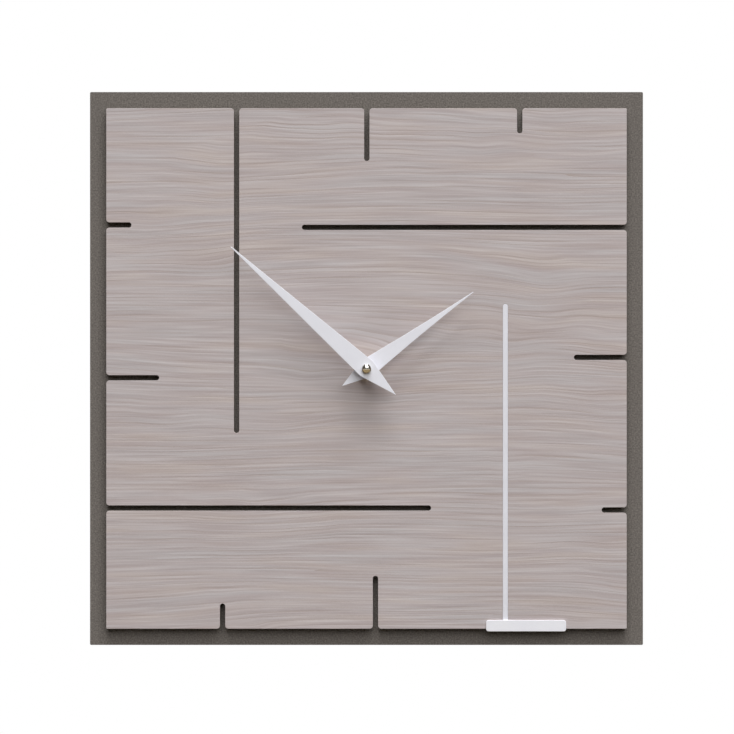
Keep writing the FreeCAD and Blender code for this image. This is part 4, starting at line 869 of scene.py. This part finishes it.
def show_bumpers():
    """Four rubber bumpers with drafted sides, a rolled shoulder and a shallow dimple."""
    boxes = solid_boxes("wall_bumpers")
    low, high = boxes[0]
    radius = (high.x - low.x) / 2
    height = high.y - low.y
    rings = [ring(share * radius, (up - 1) * height, BUMPER_SIDES) for share, up in BUMPER_PROFILE]
    mesh = skin("bumper", rings)
    for number, (low, high) in enumerate(boxes, 1):
        middle = (low + high) / 2
        seat = (middle.x, high.y, middle.z)
        name = f"wall_bumper_{number}"
        show(name, mesh, "clock_body", "bumper_rubber", seat, replaced=("wall_bumpers",))


WIRE_RADIUS = 0.1 * MM
WIRE_SIDES = 6
STEPS_IN_A_TURN = 20


def show_coil():
    """The motor's coil, wound turn beside turn along Z."""
    low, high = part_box("coil_winding")
    middle = (low + high) / 2
    reach = (high.x - low.x) / 2 - WIRE_RADIUS
    start = low.z + WIRE_RADIUS
    end = high.z - WIRE_RADIUS
    turns = math.floor((end - start) / (2 * WIRE_RADIUS))
    steps = turns * STEPS_IN_A_TURN
    points = []
    for step in range(steps + 1):
        angle = TURN * step / STEPS_IN_A_TURN
        along = start + (end - start) * step / steps
        points.append((middle.x + reach * math.cos(angle), middle.y + reach * math.sin(angle), along))
    mesh = settled(tube_along(points, WIRE_RADIUS, WIRE_SIDES))
    show("wound_coil", mesh, "clock_body", "copper_wire", replaced=("coil_winding",))


MARK_HEIGHT = 0.4 * MM      # of a moulded mark above the cover
MARK_ROOT = 0.1 * MM        # how deep it sits in the cover
MARK_EASE = 0.08 * MM       # the rounding of its edges
MARK_WIDTH = 0.8 * MM       # of its lines

ARROW_STEPS = 24
ARROW_HEAD_LENGTH = 1.6 * MM
ARROW_HEAD_WIDTH = 2.4      # times the width of the arrow's line
ARROW_GAP = 2.3 * MM        # from the knob to the middle of the arrow's line
ARROW_SPANS = ((62, 8), (118, 172))     # start and end of each arrow, in degrees

POLE_SIZE = 2.6 * MM        # of the plus and the minus
POLE_RISE = 2.2 * MM        # above the battery
POLE_INSET = 3 * MM         # from the battery's ends

RIB_COUNT = 6
RIB_LENGTH = 7 * MM
RIB_PITCH = 1.6 * MM
RIB_RISE = 5 * MM           # from the poles' marks to the lowest rib
RIB_INSET = 4 * MM          # from the case's sides


def arc_arrow(centre, radius, start, end):
    """The outline of a curved arrow around a centre, its head at the end angle."""
    half = MARK_WIDTH / 2
    barb = ARROW_HEAD_WIDTH * half
    swing = 1 if end > start else -1
    neck = end - swing * ARROW_HEAD_LENGTH / radius

    def at(reach, angle):
        return (centre[0] + reach * math.cos(angle), centre[1] + reach * math.sin(angle))

    angles = [start + (neck - start) * step / ARROW_STEPS for step in range(ARROW_STEPS + 1)]
    outer = [at(radius + half, angle) for angle in angles]
    inner = [at(radius - half, angle) for angle in reversed(angles)]
    head = [at(radius + barb, neck), at(radius, end), at(radius - barb, neck)]
    return outer + head + inner


def bar(x, z, width, height):
    """The outline of an upright rectangle about a middle point."""
    corners = ((-1, -1), (1, -1), (1, 1), (-1, 1))
    return [(x + across * width / 2, z + up * height / 2) for across, up in corners]


def arrow_outlines():
    """Two arrows round the setting knob."""
    low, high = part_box("set_knob")
    knob = (low + high) / 2
    radius = (high.x - low.x) / 2 + ARROW_GAP
    return [
        arc_arrow((knob.x, knob.z), radius, math.radians(start), math.radians(end))
        for start, end in ARROW_SPANS
    ]


def pole_outlines(low, high, z):
    """A minus and a plus over the ends of the battery, whose box is given."""
    minus_x = low.x + POLE_INSET
    plus_x = high.x - POLE_INSET
    arm = (POLE_SIZE - MARK_WIDTH) / 2
    arm_rise = (POLE_SIZE + MARK_WIDTH) / 4
    level = [bar(x, z, POLE_SIZE, MARK_WIDTH) for x in (minus_x, plus_x)]
    upright = [bar(plus_x, z + side * arm_rise, MARK_WIDTH, arm) for side in (-1, 1)]
    return level + upright


def rib_outlines(case_side, lowest):
    """Grip ribs at both sides of the case, one above the other."""
    x = case_side - RIB_INSET - RIB_LENGTH / 2
    return [
        bar(side * x, lowest + rib * RIB_PITCH, RIB_LENGTH, MARK_WIDTH)
        for side in (1, -1) for rib in range(RIB_COUNT)
    ]


def show_mouldings():
    """Marks raised on the rear cover: arrows round the knob, the battery's poles and grip ribs."""
    _, case_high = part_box("movement_rear_cover")
    battery_low, battery_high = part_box("battery_cell")
    poles_z = battery_high.z + POLE_RISE
    outlines = arrow_outlines()
    outlines += pole_outlines(battery_low, battery_high, poles_z)
    outlines += rib_outlines(case_high.x, poles_z + RIB_RISE)
    face = case_high.y
    marks = [plate(outline, face + MARK_HEIGHT, face - MARK_ROOT, MARK_EASE) for outline in outlines]
    show("cover_mouldings", joined("cover_mouldings", marks), "clock_body", "case_plastic")


LEGS_ON_A_SIDE = 4
LEG_RADIUS = 0.11 * MM
LEG_SIDES = 8
# Each bend of a chip's leg, in millimetres: out from the chip's edge, and up from the board.
LEG_BENDS = ((-0.1, 0.6), (0.25, 0.6), (0.4, 0.45), (0.55, 0.12), (0.9, 0.12))

SOLDER_JOINTS = 6
SOLDER_INSET = 0.7 * MM     # from the board's lower edge
SOLDER_SIDES = 16
# Radius and height of a solder joint in millimetres, from the board to the cut end of its wire.
SOLDER_PROFILE = ((0.45, 0.0), (0.42, 0.12), (0.30, 0.24), (0.16, 0.32), (0.12, 0.45), (0.02, 0.48))


def chip_side():
    """The Y of the circuit board's face that carries the chip, and the way that face looks along Y."""
    board_low, board_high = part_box("circuit_board")
    _, chip_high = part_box("driver_chip")
    if chip_high.y > board_high.y:
        return board_high.y, 1
    return board_low.y, -1


def show_chip_legs():
    """The driver chip's bent legs."""
    low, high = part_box("driver_chip")
    face, out = chip_side()
    legs = []
    for side, edge in ((-1, low.x), (1, high.x)):
        for leg in range(LEGS_ON_A_SIDE):
            z = low.z + (leg + 0.5) * (high.z - low.z) / LEGS_ON_A_SIDE
            points = [(edge + side * reach * MM, face + out * up * MM, z) for reach, up in LEG_BENDS]
            legs.append(tube_along(points, LEG_RADIUS, LEG_SIDES))
    show("chip_legs", joined("chip_legs", legs), "clock_body", "contact_metal")


def show_solder_joints():
    """A row of solder joints along the circuit board's lower edge."""
    low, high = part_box("circuit_board")
    face, out = chip_side()
    z = low.z + SOLDER_INSET
    joints = []
    for number in range(SOLDER_JOINTS):
        x = low.x + (number + 0.5) / SOLDER_JOINTS * (high.x - low.x)
        rings = []
        for radius, up in SOLDER_PROFILE:
            circle = ring(radius * MM, face + out * up * MM, SOLDER_SIDES)
            rings.append([(x + across, y, z + rise) for across, y, rise in circle])
        joints.append(skin("solder", rings))
    show("solder_joints", joined("solder_joints", joints), "clock_body", "crystal_can")


# ---------------------------------------------------------------- CAD pieces that keep their shape

FLAT_ANGLE = math.radians(0.4)      # facets that meet at less than this become one face
ROUNDING_STEPS = 3
LARGE_FACE_WEIGHT = 100             # how far large faces decide the shading of the edges beside them

# The width of the rounding along a node's edges. Nodes that aren't named keep their CAD edges.
EDGE_WIDTHS = {
    "back_board": 0.7 * MM,
    "front_board": 0.1 * MM,
    "face_veneer": 0.16 * MM,
    "accent_strip": 0.15 * MM,
    "blank_nameplate": 0.2 * MM,
    "hour_hand": 0.14 * MM,
    "minute_hand": 0.14 * MM,
    "rubber_washer": 0.12 * MM,
    "flat_washer": 0.06 * MM,
    "hanger_plate": 0.2 * MM,
    "movement_front_case": 0.35 * MM,
    "movement_rear_cover": 0.3 * MM,
    "bearing_plate": 0.12 * MM,
    "set_knob": 0.12 * MM,
    "circuit_board": 0.08 * MM,
    "driver_chip": 0.12 * MM,
    "quartz_crystal": 0.2 * MM,
    "coil_bobbin": 0.1 * MM,
    "battery_cell": 0.3 * MM,
    "battery_contact_negative": 0.08 * MM,
    "battery_contact_positive": 0.08 * MM,
    "rotor_magnet": 0.15 * MM,
    "stator": 0.06 * MM,
}


def welding_nodes():
    """Geometry nodes that join a node's facets and mark its real edges sharp."""
    group = bpy.data.node_groups.new("welded_facets", "GeometryNodeTree")
    group.interface.new_socket("Geometry", in_out="INPUT", socket_type="NodeSocketGeometry")
    group.interface.new_socket("Geometry", in_out="OUTPUT", socket_type="NodeSocketGeometry")
    entry = group.nodes.new("NodeGroupInput")
    result = group.nodes.new("NodeGroupOutput")
    weld = group.nodes.new("GeometryNodeMergeByDistance")
    weld.inputs["Distance"].default_value = DOUBLED_CORNERS
    angle = group.nodes.new("GeometryNodeInputMeshEdgeAngle")
    is_edge = group.nodes.new("FunctionNodeCompare")
    is_edge.data_type = "FLOAT"
    is_edge.operation = "GREATER_THAN"
    is_edge.inputs["B"].default_value = SHARP_ANGLE
    shading = group.nodes.new("GeometryNodeSetMeshNormal")
    shading.mode = "SHARPNESS"
    shading.inputs["Remove Custom"].default_value = True
    group.links.new(entry.outputs[0], weld.inputs["Geometry"])
    group.links.new(weld.outputs["Geometry"], shading.inputs["Mesh"])
    group.links.new(angle.outputs["Unsigned Angle"], is_edge.inputs["A"])
    group.links.new(is_edge.outputs[0], shading.inputs["Edge Sharpness"])
    group.links.new(shading.outputs["Mesh"], result.inputs[0])
    return group


def finish_cad_node(node, welding):
    """Gives a CAD node its material, its smooth shading and, where it has a width, rounded edges."""
    slot = node.material_slots[0]
    slot.material = FINISHES[slot.material.name]
    node.modifiers.new("welded", "NODES").node_group = welding
    if node.name in EDGE_WIDTHS:
        flats = node.modifiers.new("flats", "DECIMATE")
        flats.decimate_type = "DISSOLVE"
        flats.angle_limit = FLAT_ANGLE
        rounding = node.modifiers.new("rounded_edges", "BEVEL")
        rounding.width = EDGE_WIDTHS[node.name]
        rounding.segments = ROUNDING_STEPS
        rounding.limit_method = "ANGLE"
        rounding.angle_limit = SHARP_ANGLE
        node.modifiers.new("flat_shading", "WEIGHTED_NORMAL").weight = LARGE_FACE_WEIGHT


# ---------------------------------------------------------------- the scene

make_camera()
for name, lamp in SOFTBOXES.items():
    make_softbox(name, **lamp)
make_surroundings()
make_floor()

welding = welding_nodes()
for node in nodes.values():
    finish_cad_node(node, welding)

show_screws("panel_screws", PANEL_HEAD_HEIGHT, PANEL_SHANK_SHARE)
show_screws("hanger_screws", HANGER_HEAD_HEIGHT, HANGER_SHANK_SHARE)
show_nut()
show_bush()
show_bumpers()
show_coil()
show_mouldings()
show_chip_legs()
show_solder_joints()

bpy.context.scene.view_settings.view_transform = "Standard"
